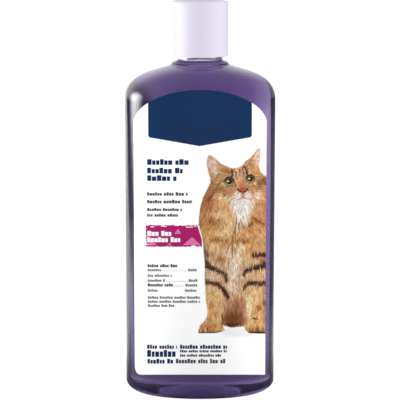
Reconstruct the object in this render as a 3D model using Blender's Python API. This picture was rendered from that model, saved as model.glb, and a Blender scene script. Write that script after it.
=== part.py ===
"""An oval pet-shampoo bottle with a screw-on press-top cap.

Metres, +Z up. The origin is the centre of the base, where the bottle stands, and the front
label faces -Y. The clear bottle holds the violet shampoo and carries a front and a back label.
The cap screws up the neck's right-hand thread with its foam liner, and the disc in the cap's
top rocks on two pins: pressed at the back, its spout rises out of the front.
"""

import math

import bmesh
import bpy
from mathutils import Matrix, Vector

CLEARANCE = 0.0003  # between two pieces that touch in the real object
SEGMENTS = 48  # sides of a round piece

# Bottle body
BODY_HALF_WIDTH = 0.0364
BODY_HALF_DEPTH = 0.0209
BODY_EXPONENT = 2.18  # of the superellipse across the body, where 2 is an ellipse
WALL = 0.0008
HEEL_HEIGHT = 0.0063
HEEL_INSET_X = 0.0107
HEEL_INSET_Y = 0.0050
FOOT_WIDTH = 0.0030  # of the flat ring that the bottle stands on
PUSH_UP = 0.0034  # how far the middle of the base is domed up
SHOULDER_START = 0.1445
SHOULDER_TOP = 0.16145

# Neck and thread: a 24-410 finish, 8 threads to the inch, a turn and a half
COLLAR_RADIUS = 0.0140
NECK_FOOT = 0.1638
NECK_RADIUS = 0.01075
BORE_RADIUS = 0.0090
NECK_TOP = 0.1816
THREAD_PITCH = 0.003175
THREAD_TURNS = 1.5
THREAD_RADIUS = 0.01185
THREAD_END = NECK_TOP - 0.0019
THREAD_START = THREAD_END - THREAD_PITCH * THREAD_TURNS
FILL_LEVEL = 0.1630

# Labels
LABEL_THICKNESS = 0.00025
LABEL_BOTTOM = 0.0108
LABEL_BOTTOM_ARCH = 0.0025  # how much higher the bottom edge is in the middle
LABEL_ARCH_RISE = 0.0170
LABEL_ARCH_MARGIN = 0.0005  # the arch would reach its foot this far beyond the label's side
FRONT_LABEL_HALF_WIDTH = 0.0314
FRONT_LABEL_ARCH_BASE = 0.1339
BACK_LABEL_HALF_WIDTH = 0.0250
BACK_LABEL_ARCH_BASE = 0.1296

# Cap
CAP_RADIUS = 0.0136
CAP_FOOT = 0.1657
CAP_TOP = 0.1919
CAP_BORE = 0.01215
CAP_THREAD_RADIUS = 0.01105
DECK_THICKNESS = 0.0011
RECESS_RADIUS = 0.01175
RECESS_FLOOR = CAP_TOP - 0.0076
LINER_THICKNESS = 0.0010
LINER_INNER_RADIUS = 0.0088
LINER_RADIUS = 0.0118

# Press disc, which rocks about an axis along X
PIVOT_HEIGHT = CAP_TOP - 0.0022
DISC_RADIUS = 0.0113
DISC_THICKNESS = 0.0016
DISC_TOP = CAP_TOP - 0.0003
PIN_RADIUS = 0.0012
PIN_ROOT = 0.0095
PIN_REACH = 0.0127
SOCKET_REACH = PIN_REACH + CLEARANCE
VALVE_RADIUS = 0.0040
VALVE_HALF_WIDTH = 0.0028
SPOUT_HALF_WIDTH = 0.0022
SPOUT_REACH = 0.0110
SPOUT_DEPTH = 0.0028  # below the pivot
SPOUT_BORE = 0.00125
ORIFICE_RADIUS = 0.0009
DISC_TILT = math.radians(28)
FINGER_DISH = 0.0005


# ---------------------------------------------------------------- materials

def material(name, color, roughness, transmission=0.0, ior=1.5):
    made = bpy.data.materials.new(name)
    made.use_nodes = True
    shader = made.node_tree.nodes["Principled BSDF"]
    shader.inputs["Base Color"].default_value = (*color, 1.0)
    shader.inputs["Roughness"].default_value = roughness
    shader.inputs["Metallic"].default_value = 0.0
    shader.inputs["Transmission Weight"].default_value = transmission
    shader.inputs["IOR"].default_value = ior
    return made


# ---------------------------------------------------------------- mesh helpers

def circle(radius, height, count=SEGMENTS):
    return [
        Vector((radius * math.cos(angle), radius * math.sin(angle), height))
        for angle in (2 * math.pi * i / count for i in range(count))
    ]


def superellipse(half_x, half_y, height, exponent, count=SEGMENTS):
    points = []
    for i in range(count):
        angle = 2 * math.pi * i / count
        c = math.cos(angle)
        s = math.sin(angle)
        points.append(Vector((
            math.copysign(abs(c) ** (2 / exponent), c) * half_x,
            math.copysign(abs(s) ** (2 / exponent), s) * half_y,
            height,
        )))
    return points


def loft(rings, closed=False):
    """Skins rings of equal count. The ends are filled, unless the last ring joins the first."""
    bm = bmesh.new()
    loops = [[bm.verts.new(point) for point in ring] for ring in rings]
    pairs = list(zip(loops, loops[1:]))
    if closed:
        pairs.append((loops[-1], loops[0]))
    else:
        bm.faces.new(reversed(loops[0]))
        bm.faces.new(loops[-1])
    for lower, upper in pairs:
        count = len(lower)
        for i in range(count):
            j = (i + 1) % count
            bm.faces.new((lower[i], lower[j], upper[j], upper[i]))
    return bm


def finish(name, bm, skin, origin=(0, 0, 0)):
    """Makes the named object, with its own origin, from a mesh built in world coordinates."""
    bmesh.ops.recalc_face_normals(bm, faces=bm.faces)
    mesh = bpy.data.meshes.new(name)
    bm.to_mesh(mesh)
    bm.free()
    mesh.transform(Matrix.Translation(-Vector(origin)))
    mesh.shade_smooth()
    mesh.set_sharp_from_angle(angle=math.radians(35))
    mesh.materials.append(skin)
    made = bpy.data.objects.new(name, mesh)
    made.location = origin
    bpy.context.collection.objects.link(made)
    return made


def combine(target, bm, operation, name):
    """Adds or cuts a hidden helper shape with an exact Boolean."""
    helper = finish(name, bm, target.data.materials[0])
    helper.hide_render = True
    helper.display_type = "WIRE"
    modifier = target.modifiers.new(name, "BOOLEAN")
    modifier.operation = operation
    modifier.solver = "EXACT"
    modifier.object = helper


def rod_along_x(radius, start, end, height, count=24):
    turn = Matrix.Rotation(math.radians(90), 4, "Y")
    rings = [
        [turn @ point + Vector((x, 0, height)) for point in circle(radius, 0, count)]
        for x in (start, end)
    ]
    return loft(rings)


def rod_between(start, end, radius, count=16):
    start = Vector(start)
    end = Vector(end)
    turn = (end - start).to_track_quat("Z", "Y").to_matrix().to_4x4()
    rings = [
        [turn @ point + centre for point in circle(radius, 0, count)]
        for centre in (start, end)
    ]
    return loft(rings)


def block(low, high):
    corners = [(low[0], low[1]), (high[0], low[1]), (high[0], high[1]), (low[0], high[1])]
    return loft([[Vector((x, y, z)) for x, y in corners] for z in (low[2], high[2])])


def helical_rib(root_radius, crest_radius, start_height, root_width, crest_width):
    """A trapezoidal thread that fades in and out over a twelfth of a turn at each end."""
    steps = int(24 * THREAD_TURNS)
    fade_steps = 2
    rings = []
    for step in range(steps + 1):
        angle = 2 * math.pi * THREAD_TURNS * step / steps
        middle = start_height + THREAD_PITCH * THREAD_TURNS * step / steps
        fade = min(1.0, (0.25 + min(step, steps - step)) / fade_steps)
        crest = root_radius + (crest_radius - root_radius) * fade
        profile = [
            (root_radius, middle - root_width / 2),
            (crest, middle - crest_width / 2),
            (crest, middle + crest_width / 2),
            (root_radius, middle + root_width / 2),
        ]
        rings.append([
            Vector((radius * math.cos(angle), radius * math.sin(angle), height))
            for radius, height in profile
        ])
    return loft(rings)


# ---------------------------------------------------------------- bottle shape

def bezier(a, b, c, d, t):
    s = 1 - t
    return s ** 3 * a + 3 * s * s * t * b + 3 * s * t * t * c + t ** 3 * d


class Skin:
    """One surface of the body, set in from the outer one."""

    def __init__(self, inset, neck_radius, top):
        self.half_width = BODY_HALF_WIDTH - inset
        self.half_depth = BODY_HALF_DEPTH - inset
        self.neck_radius = neck_radius
        self.top = top
        self.floor = inset
        self.heel_height = HEEL_HEIGHT - inset
        self.crown = SHOULDER_START + 0.0117 - inset

    def shoulder(self, t):
        """How far out the shoulder is, 0 at the neck and 1 at the body, and its height."""
        spread = bezier(0, 0.507, 1, 1, t)
        height = bezier(self.top, self.top - 0.0032, self.crown, SHOULDER_START, t)
        return spread, height

    def section(self, spread, height):
        radius = self.neck_radius
        return (
            radius + (self.half_width - radius) * spread,
            radius + (self.half_depth - radius) * spread,
            height,
            2 + (BODY_EXPONENT - 2) * spread,
        )

    def section_at(self, height):
        """The body's outline at any height from the heel to the collar."""
        if height <= SHOULDER_START:
            return self.section(1, height)
        low, high = 0.0, 1.0
        for _ in range(40):
            middle = (low + high) / 2
            if self.shoulder(middle)[1] > height:
                low = middle
            else:
                high = middle
        return self.section(self.shoulder(low)[0], height)

    def shoulder_rings(self, count=9):
        """From the body up to the neck."""
        return [superellipse(*self.section(*self.shoulder(1 - i / count))) for i in range(count + 1)]

    def heel_rings(self, count=4):
        """From the foot up to the body."""
        rings = []
        for i in range(count + 1):
            angle = math.pi / 2 * i / count
            inset = 1 - math.sin(angle)
            rings.append(superellipse(
                self.half_width - HEEL_INSET_X * inset,
                self.half_depth - HEEL_INSET_Y * inset,
                self.floor + self.heel_height * (1 - math.cos(angle)),
                BODY_EXPONENT,
            ))
        return rings

    def base_rings(self):
        """From near the middle of the domed base out to the flat foot's inner edge."""
        half_x = self.half_width - HEEL_INSET_X - FOOT_WIDTH
        half_y = self.half_depth - HEEL_INSET_Y - FOOT_WIDTH
        rings = []
        for share in (0.25, 0.6, 0.85, 1.0):
            height = self.floor + PUSH_UP * (1 - share ** 2)
            rings.append(superellipse(half_x * share, half_y * share, height, BODY_EXPONENT))
        return rings


OUTER_SKIN = Skin(0.0, COLLAR_RADIUS, SHOULDER_TOP)
INNER_SKIN = Skin(WALL, BORE_RADIUS + 0.0004, SHOULDER_TOP + 0.0002)
FLUID_SKIN = Skin(WALL + CLEARANCE, BORE_RADIUS + 0.0001, SHOULDER_TOP - 0.0001)


def collar_rings():
    """The low round collar that the neck rises from."""
    profile = [
        (0.01392, SHOULDER_TOP + 0.0007),
        (0.01345, SHOULDER_TOP + 0.0014),
        (0.01250, SHOULDER_TOP + 0.0019),
        (0.01140, SHOULDER_TOP + 0.0021),
        (NECK_RADIUS, NECK_FOOT + 0.0003),
    ]
    return [circle(radius, height) for radius, height in profile]


def make_bottle(skin):
    lip = 0.0004
    neck = [
        circle(NECK_RADIUS, NECK_TOP - lip),
        circle(NECK_RADIUS - lip, NECK_TOP),
        circle(BORE_RADIUS + lip, NECK_TOP),
        circle(BORE_RADIUS, NECK_TOP - lip),
        circle(BORE_RADIUS, SHOULDER_TOP + 0.0010),
    ]
    outside = OUTER_SKIN.base_rings() + OUTER_SKIN.heel_rings() + OUTER_SKIN.shoulder_rings()
    inside = INNER_SKIN.base_rings() + INNER_SKIN.heel_rings() + INNER_SKIN.shoulder_rings()
    bottle = finish("bottle", loft(outside + collar_rings() + neck + inside[::-1]), skin)
    rib = helical_rib(NECK_RADIUS - 0.0003, THREAD_RADIUS, THREAD_START, 0.0020, 0.0009)
    combine(bottle, rib, "UNION", "neck_thread")


def make_shampoo(skin):
    radius = BORE_RADIUS - CLEARANCE
    column = [circle(radius, SHOULDER_TOP + 0.0006), circle(radius, FILL_LEVEL)]
    body = FLUID_SKIN.base_rings() + FLUID_SKIN.heel_rings() + FLUID_SKIN.shoulder_rings()
    finish("shampoo", loft(body + column), skin)


# ---------------------------------------------------------------- labels

def wall_point(x, height, lift, side):
    """A point over the bottle's front (side -1) or back (side 1), lift out from its surface."""
    def on_wall(x, height):
        half_x, half_y, _, exponent = OUTER_SKIN.section_at(height)
        depth = half_y * (1 - (abs(x) / half_x) ** exponent) ** (1 / exponent)
        return Vector((x, side * depth, height))

    step = 0.0002
    across = on_wall(x + step, height) - on_wall(x - step, height)
    up = on_wall(x, height + step) - on_wall(x, height - step)
    normal = across.cross(up).normalized()
    if normal.y * side < 0:
        normal.negate()
    return on_wall(x, height) + normal * lift


def label_span(x, half_width, arch_base):
    """The heights of a label's bottom and top edges at x."""
    middle = 1 - (x / half_width) ** 2
    bottom = LABEL_BOTTOM + LABEL_BOTTOM_ARCH * middle
    top = arch_base + LABEL_ARCH_RISE * math.sqrt(1 - (x / (half_width + LABEL_ARCH_MARGIN)) ** 2)
    return bottom, top


def make_label(name, side, half_width, arch_base, skin, columns=22, rows=9):
    rings = []
    for column in range(columns + 1):
        x = half_width * math.sin(math.pi / 2 * (2 * column / columns - 1))
        bottom, top = label_span(x, half_width, arch_base)
        heights = [bottom + (top - bottom) * (1 - (1 - row / rows) ** 2) for row in range(rows + 1)]
        under = [wall_point(x, height, CLEARANCE, side) for height in heights]
        over = [wall_point(x, height, CLEARANCE + LABEL_THICKNESS, side) for height in heights]
        rings.append(under + over[::-1])
    finish(name, loft(rings), skin)


# ---------------------------------------------------------------- cap

def make_cap(skin):
    edge = 0.0005
    boss_radius = 0.0032
    boss_top = PIVOT_HEIGHT - 0.0033
    deck_under = RECESS_FLOOR - DECK_THICKNESS
    profile = [
        (CAP_BORE + 0.0003, CAP_FOOT),
        (CAP_RADIUS - 0.0003, CAP_FOOT),
        (CAP_RADIUS, CAP_FOOT + 0.0003),
        (CAP_RADIUS, CAP_TOP - edge),
        (CAP_RADIUS - 0.3 * edge, CAP_TOP - 0.3 * edge),
        (CAP_RADIUS - edge, CAP_TOP),
        (RECESS_RADIUS + 0.0003, CAP_TOP),
        (RECESS_RADIUS, CAP_TOP - 0.0003),
        (RECESS_RADIUS, RECESS_FLOOR),
        (boss_radius, RECESS_FLOOR),
        (boss_radius, boss_top),
        (ORIFICE_RADIUS, boss_top),
        (ORIFICE_RADIUS, deck_under),
        (CAP_BORE, deck_under),
        (CAP_BORE, CAP_FOOT + 0.0006),
    ]
    body = loft([circle(radius, height) for radius, height in profile], closed=True)
    cap = finish("cap_body", body, skin, (0, 0, CAP_FOOT))
    start = THREAD_START - THREAD_PITCH / 2
    rib = helical_rib(CAP_BORE + 0.0003, CAP_THREAD_RADIUS, start, 0.0015, 0.0006)
    combine(cap, rib, "UNION", "cap_thread")
    seat = rod_along_x(VALVE_RADIUS + CLEARANCE, -0.005, 0.005, PIVOT_HEIGHT, 32)
    combine(cap, seat, "DIFFERENCE", "valve_seat")
    for side, name in ((-1, "pin_socket_left"), (1, "pin_socket_right")):
        inner, outer = sorted((side * 0.0110, side * SOCKET_REACH))
        socket = rod_along_x(PIN_RADIUS + CLEARANCE, inner, outer, PIVOT_HEIGHT)
        combine(cap, socket, "DIFFERENCE", name)


def make_liner(skin):
    top = RECESS_FLOOR - DECK_THICKNESS - CLEARANCE
    profile = [
        (LINER_INNER_RADIUS, top - LINER_THICKNESS),
        (LINER_RADIUS, top - LINER_THICKNESS),
        (LINER_RADIUS, top),
        (LINER_INNER_RADIUS, top),
    ]
    rings = [circle(radius, height) for radius, height in profile]
    finish("cap_liner", loft(rings, closed=True), skin, (0, 0, top))


# ---------------------------------------------------------------- press disc

def make_disc(skin):
    """A shallow disc with its rocking valve, spout and pins, closed flush in the cap's top."""
    edge = 0.0003
    under = DISC_TOP - DISC_THICKNESS
    rings = [
        circle(DISC_RADIUS, under),
        circle(DISC_RADIUS, DISC_TOP - edge),
        circle(DISC_RADIUS - edge, DISC_TOP),
    ]
    disc = finish("press_disc", loft(rings), skin, (0, 0, PIVOT_HEIGHT))

    for side, name in ((-1, "pin_left"), (1, "pin_right")):
        inner, outer = sorted((side * PIN_ROOT, side * PIN_REACH))
        combine(disc, rod_along_x(PIN_RADIUS, inner, outer, PIVOT_HEIGHT), "UNION", name)
    valve = rod_along_x(VALVE_RADIUS, -VALVE_HALF_WIDTH, VALVE_HALF_WIDTH, PIVOT_HEIGHT, 32)
    trim(valve, DISC_TOP - 0.0004)
    combine(disc, valve, "UNION", "valve")
    spout = block(
        (-SPOUT_HALF_WIDTH, -SPOUT_REACH, PIVOT_HEIGHT - SPOUT_DEPTH),
        (SPOUT_HALF_WIDTH, 0, under + 0.0005))
    combine(disc, spout, "UNION", "spout")

    bore_height = PIVOT_HEIGHT - SPOUT_BORE
    outlet = rod_between((0, -0.0130, bore_height), (0, 0.0006, bore_height), SPOUT_BORE)
    combine(disc, outlet, "DIFFERENCE", "outlet")
    reach = 0.0060
    inlet_end = (0, reach * math.sin(DISC_TILT), PIVOT_HEIGHT - reach * math.cos(DISC_TILT))
    inlet = rod_between((0, 0, PIVOT_HEIGHT), inlet_end, ORIFICE_RADIUS)
    combine(disc, inlet, "DIFFERENCE", "inlet")
    dish_radius = 0.0200
    dish_height = DISC_TOP - FINGER_DISH + dish_radius
    dish = bmesh.new()
    bmesh.ops.create_icosphere(
        dish, subdivisions=3, radius=dish_radius, matrix=Matrix.Translation((0, 0.0055, dish_height)))
    combine(disc, dish, "DIFFERENCE", "finger_dish")


def trim(bm, height):
    """Cuts a closed shape off flat at a height and fills the cut."""
    parts = bm.verts[:] + bm.edges[:] + bm.faces[:]
    cut = bmesh.ops.bisect_plane(
        bm, geom=parts, plane_co=(0, 0, height), plane_no=(0, 0, 1), clear_outer=True)
    edges = [part for part in cut["geom_cut"] if isinstance(part, bmesh.types.BMEdge)]
    bmesh.ops.holes_fill(bm, edges=edges)


def main():
    for old in list(bpy.data.objects):
        bpy.data.objects.remove(old, do_unlink=True)
    clear_pet = material("clear_pet", (0.86, 0.84, 0.90), 0.08, transmission=1.0, ior=1.57)
    shampoo = material("violet_shampoo", (0.22, 0.16, 0.38), 0.10, transmission=0.6, ior=1.35)
    film = material("label_film", (0.93, 0.93, 0.94), 0.35)
    white_plastic = material("white_plastic", (0.86, 0.86, 0.90), 0.25)
    foam = material("liner_foam", (0.88, 0.88, 0.86), 0.80)
    make_bottle(clear_pet)
    make_shampoo(shampoo)
    make_label("front_label", -1, FRONT_LABEL_HALF_WIDTH, FRONT_LABEL_ARCH_BASE, film)
    make_label("back_label", 1, BACK_LABEL_HALF_WIDTH, BACK_LABEL_ARCH_BASE, film)
    make_cap(white_plastic)
    make_liner(foam)
    make_disc(white_plastic)


main()
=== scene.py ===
"""The looks of the oval shampoo bottle: clear bottle, violet shampoo, printed labels and cap.

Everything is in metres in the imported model's frame: +Z up, the front label faces -Y.
"""

import math

import bpy
import numpy as np
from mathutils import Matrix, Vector


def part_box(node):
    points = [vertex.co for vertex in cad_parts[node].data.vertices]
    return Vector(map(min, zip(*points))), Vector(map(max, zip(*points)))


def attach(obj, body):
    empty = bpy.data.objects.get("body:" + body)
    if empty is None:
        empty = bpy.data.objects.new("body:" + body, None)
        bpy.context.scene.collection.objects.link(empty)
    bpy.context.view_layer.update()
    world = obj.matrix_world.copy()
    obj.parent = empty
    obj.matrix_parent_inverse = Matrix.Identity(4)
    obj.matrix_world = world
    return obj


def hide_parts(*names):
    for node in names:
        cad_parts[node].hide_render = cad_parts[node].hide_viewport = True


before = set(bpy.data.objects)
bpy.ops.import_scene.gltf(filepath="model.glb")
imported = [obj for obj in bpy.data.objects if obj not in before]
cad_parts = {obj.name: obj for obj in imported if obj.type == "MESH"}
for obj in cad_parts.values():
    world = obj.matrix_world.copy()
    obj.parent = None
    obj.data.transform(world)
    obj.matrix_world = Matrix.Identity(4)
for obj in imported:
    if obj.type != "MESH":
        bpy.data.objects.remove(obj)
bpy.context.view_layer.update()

MM = 0.001

# ---------------------------------------------------------------- sizes

# From the frame's own solids
BOTTLE_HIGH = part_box("bottle")[1]
CAP_LOW, CAP_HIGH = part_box("cap_body")
HALF_WIDTH = BOTTLE_HIGH.x
HALF_DEPTH = BOTTLE_HIGH.y
NECK_TOP = BOTTLE_HIGH.z
CAP_RADIUS = CAP_HIGH.x
CAP_FOOT = CAP_LOW.z
CAP_TOP = CAP_HIGH.z
FILL_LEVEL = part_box("shampoo")[1].z

# The body, as in the CAD
BODY_EXPONENT = 2.18
WALL = 0.8 * MM
HEEL_HEIGHT = 6.3 * MM
HEEL_INSET_X = 10.7 * MM
HEEL_INSET_Y = 5.0 * MM
FOOT_WIDTH = 3.0 * MM
PUSH_UP = 3.4 * MM
SHOULDER_START = 144.5 * MM
SHOULDER_TOP = 161.45 * MM
SHOULDER_SPREAD = 0.507          # how far out the shoulder's curve pulls near the neck
SHOULDER_DROP = 3.2 * MM         # how far it pulls down there
SHOULDER_BULGE = 11.7 * MM       # how far it pulls up near the body
COLLAR_RADIUS = 14.0 * MM
RIPPLE = 0.0016                  # unevenness of the blown wall's inside, as a share of its width

# The neck and its thread
NECK_RADIUS = 10.75 * MM
BORE_RADIUS = 9.0 * MM
THREAD_PITCH = 3.175 * MM
THREAD_TURNS = 1.5
THREAD_RADIUS = 11.85 * MM
THREAD_START = NECK_TOP - 1.9 * MM - THREAD_PITCH * THREAD_TURNS

# The cap
CAP_BORE = 12.15 * MM
CAP_THREAD_RADIUS = 11.05 * MM
RECESS_RADIUS = 11.75 * MM
RECESS_FLOOR = CAP_TOP - 7.6 * MM
DECK_UNDER = RECESS_FLOOR - 1.1 * MM
PIVOT_HEIGHT = CAP_TOP - 2.2 * MM
DISC_RADIUS = 11.3 * MM
DISC_TOP = CAP_TOP - 0.3 * MM
DISC_UNDER = DISC_TOP - 1.6 * MM
VALVE_RADIUS = 4.0 * MM
ORIFICE_RADIUS = 0.9 * MM
DISC_TILT = math.radians(28)

# The camera looks at the bottle's front from a little above
CAMERA_DISTANCE = 0.8558
CAMERA_HEIGHT = 0.2312
CAMERA_PITCH = math.radians(9.017)
CAMERA_LENS = 160.1              # in millimetres, on a sensor 36 mm wide

SIDES = 192
ANGLES = np.linspace(0, 2 * math.pi, SIDES, endpoint=False)


# ---------------------------------------------------------------- mesh helpers

def smoothstep(low, high, value):
    t = np.clip((value - low) / (high - low), 0, 1)
    return t * t * (3 - 2 * t)


def circle(radius, height):
    """A ring whose radius may be one number or one for each angle."""
    height = np.broadcast_to(height, ANGLES.shape)
    return np.stack([np.cos(ANGLES) * radius, np.sin(ANGLES) * radius, height], 1)


def superellipse(half_x, half_y, height, exponent):
    c, s = np.cos(ANGLES), np.sin(ANGLES)
    return np.stack([
        np.sign(c) * np.abs(c) ** (2 / exponent) * half_x,
        np.sign(s) * np.abs(s) ** (2 / exponent) * half_y,
        np.full(SIDES, height),
    ], 1)


def soften(rings, times):
    """Cuts the corners of a run of rings, which rounds the profile they follow."""
    rings = np.array(rings)
    for _ in range(times):
        a, b = rings[:-1], rings[1:]
        cut = np.stack([0.75 * a + 0.25 * b, 0.25 * a + 0.75 * b], 1)
        rings = np.concatenate([rings[:1], cut.reshape(-1, *rings.shape[1:]), rings[-1:]])
    return list(rings)


def between(start, end, count):
    """Rings between two rings, which are left out."""
    return [start + (end - start) * i / (count + 1) for i in range(1, count + 1)]


def make_object(name, vertices, faces, material, smooth_angle=40):
    mesh = bpy.data.meshes.new(name)
    mesh.from_pydata(np.asarray(vertices).tolist(), [], faces)
    mesh.validate()
    mesh.shade_smooth()
    mesh.set_sharp_from_angle(angle=math.radians(smooth_angle))
    mesh.materials.append(material)
    made = bpy.data.objects.new(name, mesh)
    bpy.context.scene.collection.objects.link(made)
    return made


def loft(name, rings, material, closed=False, smooth_angle=40):
    """Skins rings, listed so that the outside is on the left going up a wall."""
    rings = np.array(rings)
    count, sides = rings.shape[:2]
    vertices = rings.reshape(-1, 3)
    rows = count if closed else count - 1
    faces = []
    for row in range(rows):
        here = row * sides
        above = (row + 1) % count * sides
        for i in range(sides):
            j = (i + 1) % sides
            faces.append((here + i, here + j, above + j, above + i))
    if not closed:
        faces.append(tuple(reversed(range(sides))))
        faces.append(tuple(range((count - 1) * sides, count * sides)))
    return make_object(name, vertices, faces, material, smooth_angle)


def cut(target, tool, operation="DIFFERENCE"):
    """Applies an exact Boolean and deletes the tool."""
    modifier = target.modifiers.new(tool.name, "BOOLEAN")
    modifier.operation = operation
    modifier.solver = "EXACT"
    modifier.object = tool
    bpy.context.view_layer.update()
    graph = bpy.context.evaluated_depsgraph_get()
    mesh = bpy.data.meshes.new_from_object(target.evaluated_get(graph))
    target.modifiers.clear()
    target.data = mesh
    bpy.data.objects.remove(tool)


def rod(name, start, end, radius, material, sides=48):
    start, end = Vector(start), Vector(end)
    turn = (end - start).to_track_quat("Z", "Y").to_matrix()
    angles = [2 * math.pi * i / sides for i in range(sides)]
    spokes = [turn @ Vector((radius * math.cos(a), radius * math.sin(a), 0)) for a in angles]
    rings = [[list(spoke + centre) for spoke in spokes] for centre in (start, end)]
    return loft(name, rings, material)


def box(name, low, high, material):
    corners = [(low[0], low[1]), (high[0], low[1]), (high[0], high[1]), (low[0], high[1])]
    return loft(name, [[(x, y, z) for x, y in corners] for z in (low[2], high[2])], material)


def rounded_edge(radius, top, size, points, inner=False):
    """Profile points up and over a rim's outer edge, or over and down its inner one."""
    side = -1 if inner else 1
    first, last = (math.pi / 2, 0) if inner else (0, math.pi / 2)
    return [
        (radius - side * size * (1 - math.cos(angle)), top - size * (1 - math.sin(angle)))
        for angle in np.linspace(first, last, points)
    ]


def thread_height(height, start, root_width, crest_width):
    """How far a thread stands out at each angle of a ring, from 0 at its root to 1 at its crest."""
    best = np.zeros(SIDES)
    last = 2 * math.pi * THREAD_TURNS
    for turn in range(math.ceil(THREAD_TURNS)):
        total = ANGLES + 2 * math.pi * turn
        middle = start + THREAD_PITCH * total / (2 * math.pi)
        flank = (root_width / 2 - np.abs(height - middle)) / ((root_width - crest_width) / 2)
        ends = smoothstep(0, 0.5, total) * smoothstep(0, 0.5, last - total)
        best = np.maximum(best, smoothstep(0, 1, flank) * ends * (total <= last))
    return best


# ---------------------------------------------------------------- materials

class Nodes:
    """A node tree, with short ways of adding to it."""

    def __init__(self, tree):
        self.tree = tree

    def put(self, value, socket):
        """Links an output to a socket, or sets the socket; a colour is three numbers."""
        if isinstance(value, bpy.types.NodeSocket):
            self.tree.links.new(value, socket)
        elif socket.type == "RGBA":
            socket.default_value = (*value, 1)
        else:
            socket.default_value = value

    def add(self, kind, sockets=(), **values):
        """Adds a node, with its sockets filled in order or by name."""
        node = self.tree.nodes.new(kind)
        for key, value in values.items():
            setattr(node, key, value)
        for key, value in sockets.items() if isinstance(sockets, dict) else enumerate(sockets):
            self.put(value, node.inputs[key])
        return node

    def math(self, operation, first, second=0.0):
        return self.add("ShaderNodeMath", (first, second), operation=operation).outputs["Value"]

    def split(self, vector):
        return self.add("ShaderNodeSeparateXYZ", (vector,)).outputs

    def remap(self, source, start, end, low, high, shape="LINEAR"):
        node = self.add("ShaderNodeMapRange", {
            "Value": source, "From Min": start, "From Max": end, "To Min": low, "To Max": high,
        }, interpolation_type=shape)
        return node.outputs["Result"]

    def fade(self, source, start, end, low, high):
        return self.remap(source, start, end, low, high, "SMOOTHSTEP")

    def mix(self, factor, low, high, blend="MIX"):
        """Mixes two colours, each given as a colour or an output."""
        node = self.add("ShaderNodeMix", data_type="RGBA", blend_type=blend)
        colours = [socket for socket in node.inputs if socket.type == "RGBA"]
        for value, socket in zip((factor, low, high), (node.inputs["Factor"], *colours)):
            self.put(value, socket)
        return next(socket for socket in node.outputs if socket.type == "RGBA")


class Material(Nodes):
    """A material, with a Principled shader at its end."""

    def __init__(self, name):
        self.material = bpy.data.materials.new(name)
        self.material.use_nodes = True
        super().__init__(self.material.node_tree)
        self.shader = self.tree.nodes["Principled BSDF"]
        self.output = self.tree.nodes["Material Output"]
        self.place = self.add("ShaderNodeTexCoord").outputs["Object"]

    def set(self, **values):
        for key, value in values.items():
            self.put(value, self.shader.inputs[key.replace("_", " ")])

    def noise(self, scale, detail=3.0, roughness=0.5, stretch=(1, 1, 1)):
        mapping = self.add("ShaderNodeMapping", {"Vector": self.place, "Scale": stretch})
        node = self.add("ShaderNodeTexNoise", {
            "Vector": mapping.outputs["Vector"],
            "Scale": scale, "Detail": detail, "Roughness": roughness,
        })
        return node.outputs["Fac"]

    def spread(self, noise, low, high):
        """Stretches a noise, which keeps to its middle, over a range."""
        return self.remap(noise, 0.3, 0.7, low, high)

    def bump(self, height, distance):
        node = self.add("ShaderNodeBump", {"Height": height, "Distance": distance})
        self.set(Normal=node.outputs["Normal"])


def srgb(red, green, blue):
    """A colour as seen, 0 to 255, in the linear values that shaders use."""
    def linear(value):
        value /= 255
        return value / 12.92 if value <= 0.04045 else ((value + 0.055) / 1.055) ** 2.4
    return linear(red), linear(green), linear(blue)


def clear_pet():
    pet = Material("clear_pet")
    pet.set(Base_Color=(0.975, 0.97, 0.985), IOR=1.56, Transmission_Weight=1.0)
    pet.set(Roughness=pet.spread(pet.noise(60, 2), 0.0, 0.03))
    pet.bump(pet.noise(45, 1, stretch=(1, 1, 0.4)), 0.12 * MM)
    return pet.material


def violet_shampoo():
    """Clear violet liquid with a faint pearl; a painted violet glow within it stands in for the
    light that the pearl spreads.
    """
    liquid = Material("violet_shampoo")
    liquid.set(Base_Color=(0.96, 0.95, 0.99), IOR=1.35, Transmission_Weight=1.0)
    liquid.set(Roughness=liquid.spread(liquid.noise(30, 1), 0.0, 0.015))
    depth = liquid.add("ShaderNodeVolumeAbsorption", {"Color": (0.21, 0.05, 0.42), "Density": 80.0})
    # Painted glow: the liquid gives off faint violet light of its own
    painted_liquid_glow = liquid.add("ShaderNodeEmission", {"Color": (0.35, 0.20, 0.75), "Strength": 2.0})
    both = liquid.add("ShaderNodeAddShader", (depth.outputs["Volume"], painted_liquid_glow.outputs["Emission"]))
    liquid.put(both.outputs["Shader"], liquid.output.inputs["Volume"])
    return liquid.material


def white_plastic():
    plastic = Material("white_plastic")
    tint = plastic.mix(plastic.noise(70, 3), srgb(201, 197, 213), srgb(204, 200, 216))
    plastic.set(Base_Color=tint, IOR=1.49, Coat_Weight=0.0)
    plastic.set(Roughness=plastic.spread(plastic.noise(90, 2), 0.46, 0.50))
    plastic.bump(plastic.noise(90, 2, stretch=(1, 1, 0.5)), 0.004 * MM)
    return plastic.material


def liner_foam():
    foam = Material("liner_foam")
    tint = foam.mix(foam.noise(900, 4), srgb(222, 220, 212), srgb(240, 238, 232))
    foam.set(Base_Color=tint, Roughness=0.85)
    foam.bump(foam.noise(2600, 4), 0.06 * MM)
    return foam.material


def ink(name, colour):
    """Printed ink: an even colour that lies a little thinner here and there."""
    print_ink = Material(name)
    thin = [0.90 * part + 0.002 for part in colour]
    cover = print_ink.spread(print_ink.noise(800, 4, 0.6), 0, 1)
    print_ink.set(Base_Color=print_ink.mix(cover, colour, thin), Specular_IOR_Level=0.05)
    print_ink.set(Roughness=print_ink.spread(print_ink.noise(300, 3), 0.33, 0.44))
    print_ink.bump(print_ink.noise(2500, 2), 0.006 * MM)
    return print_ink.material


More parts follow.
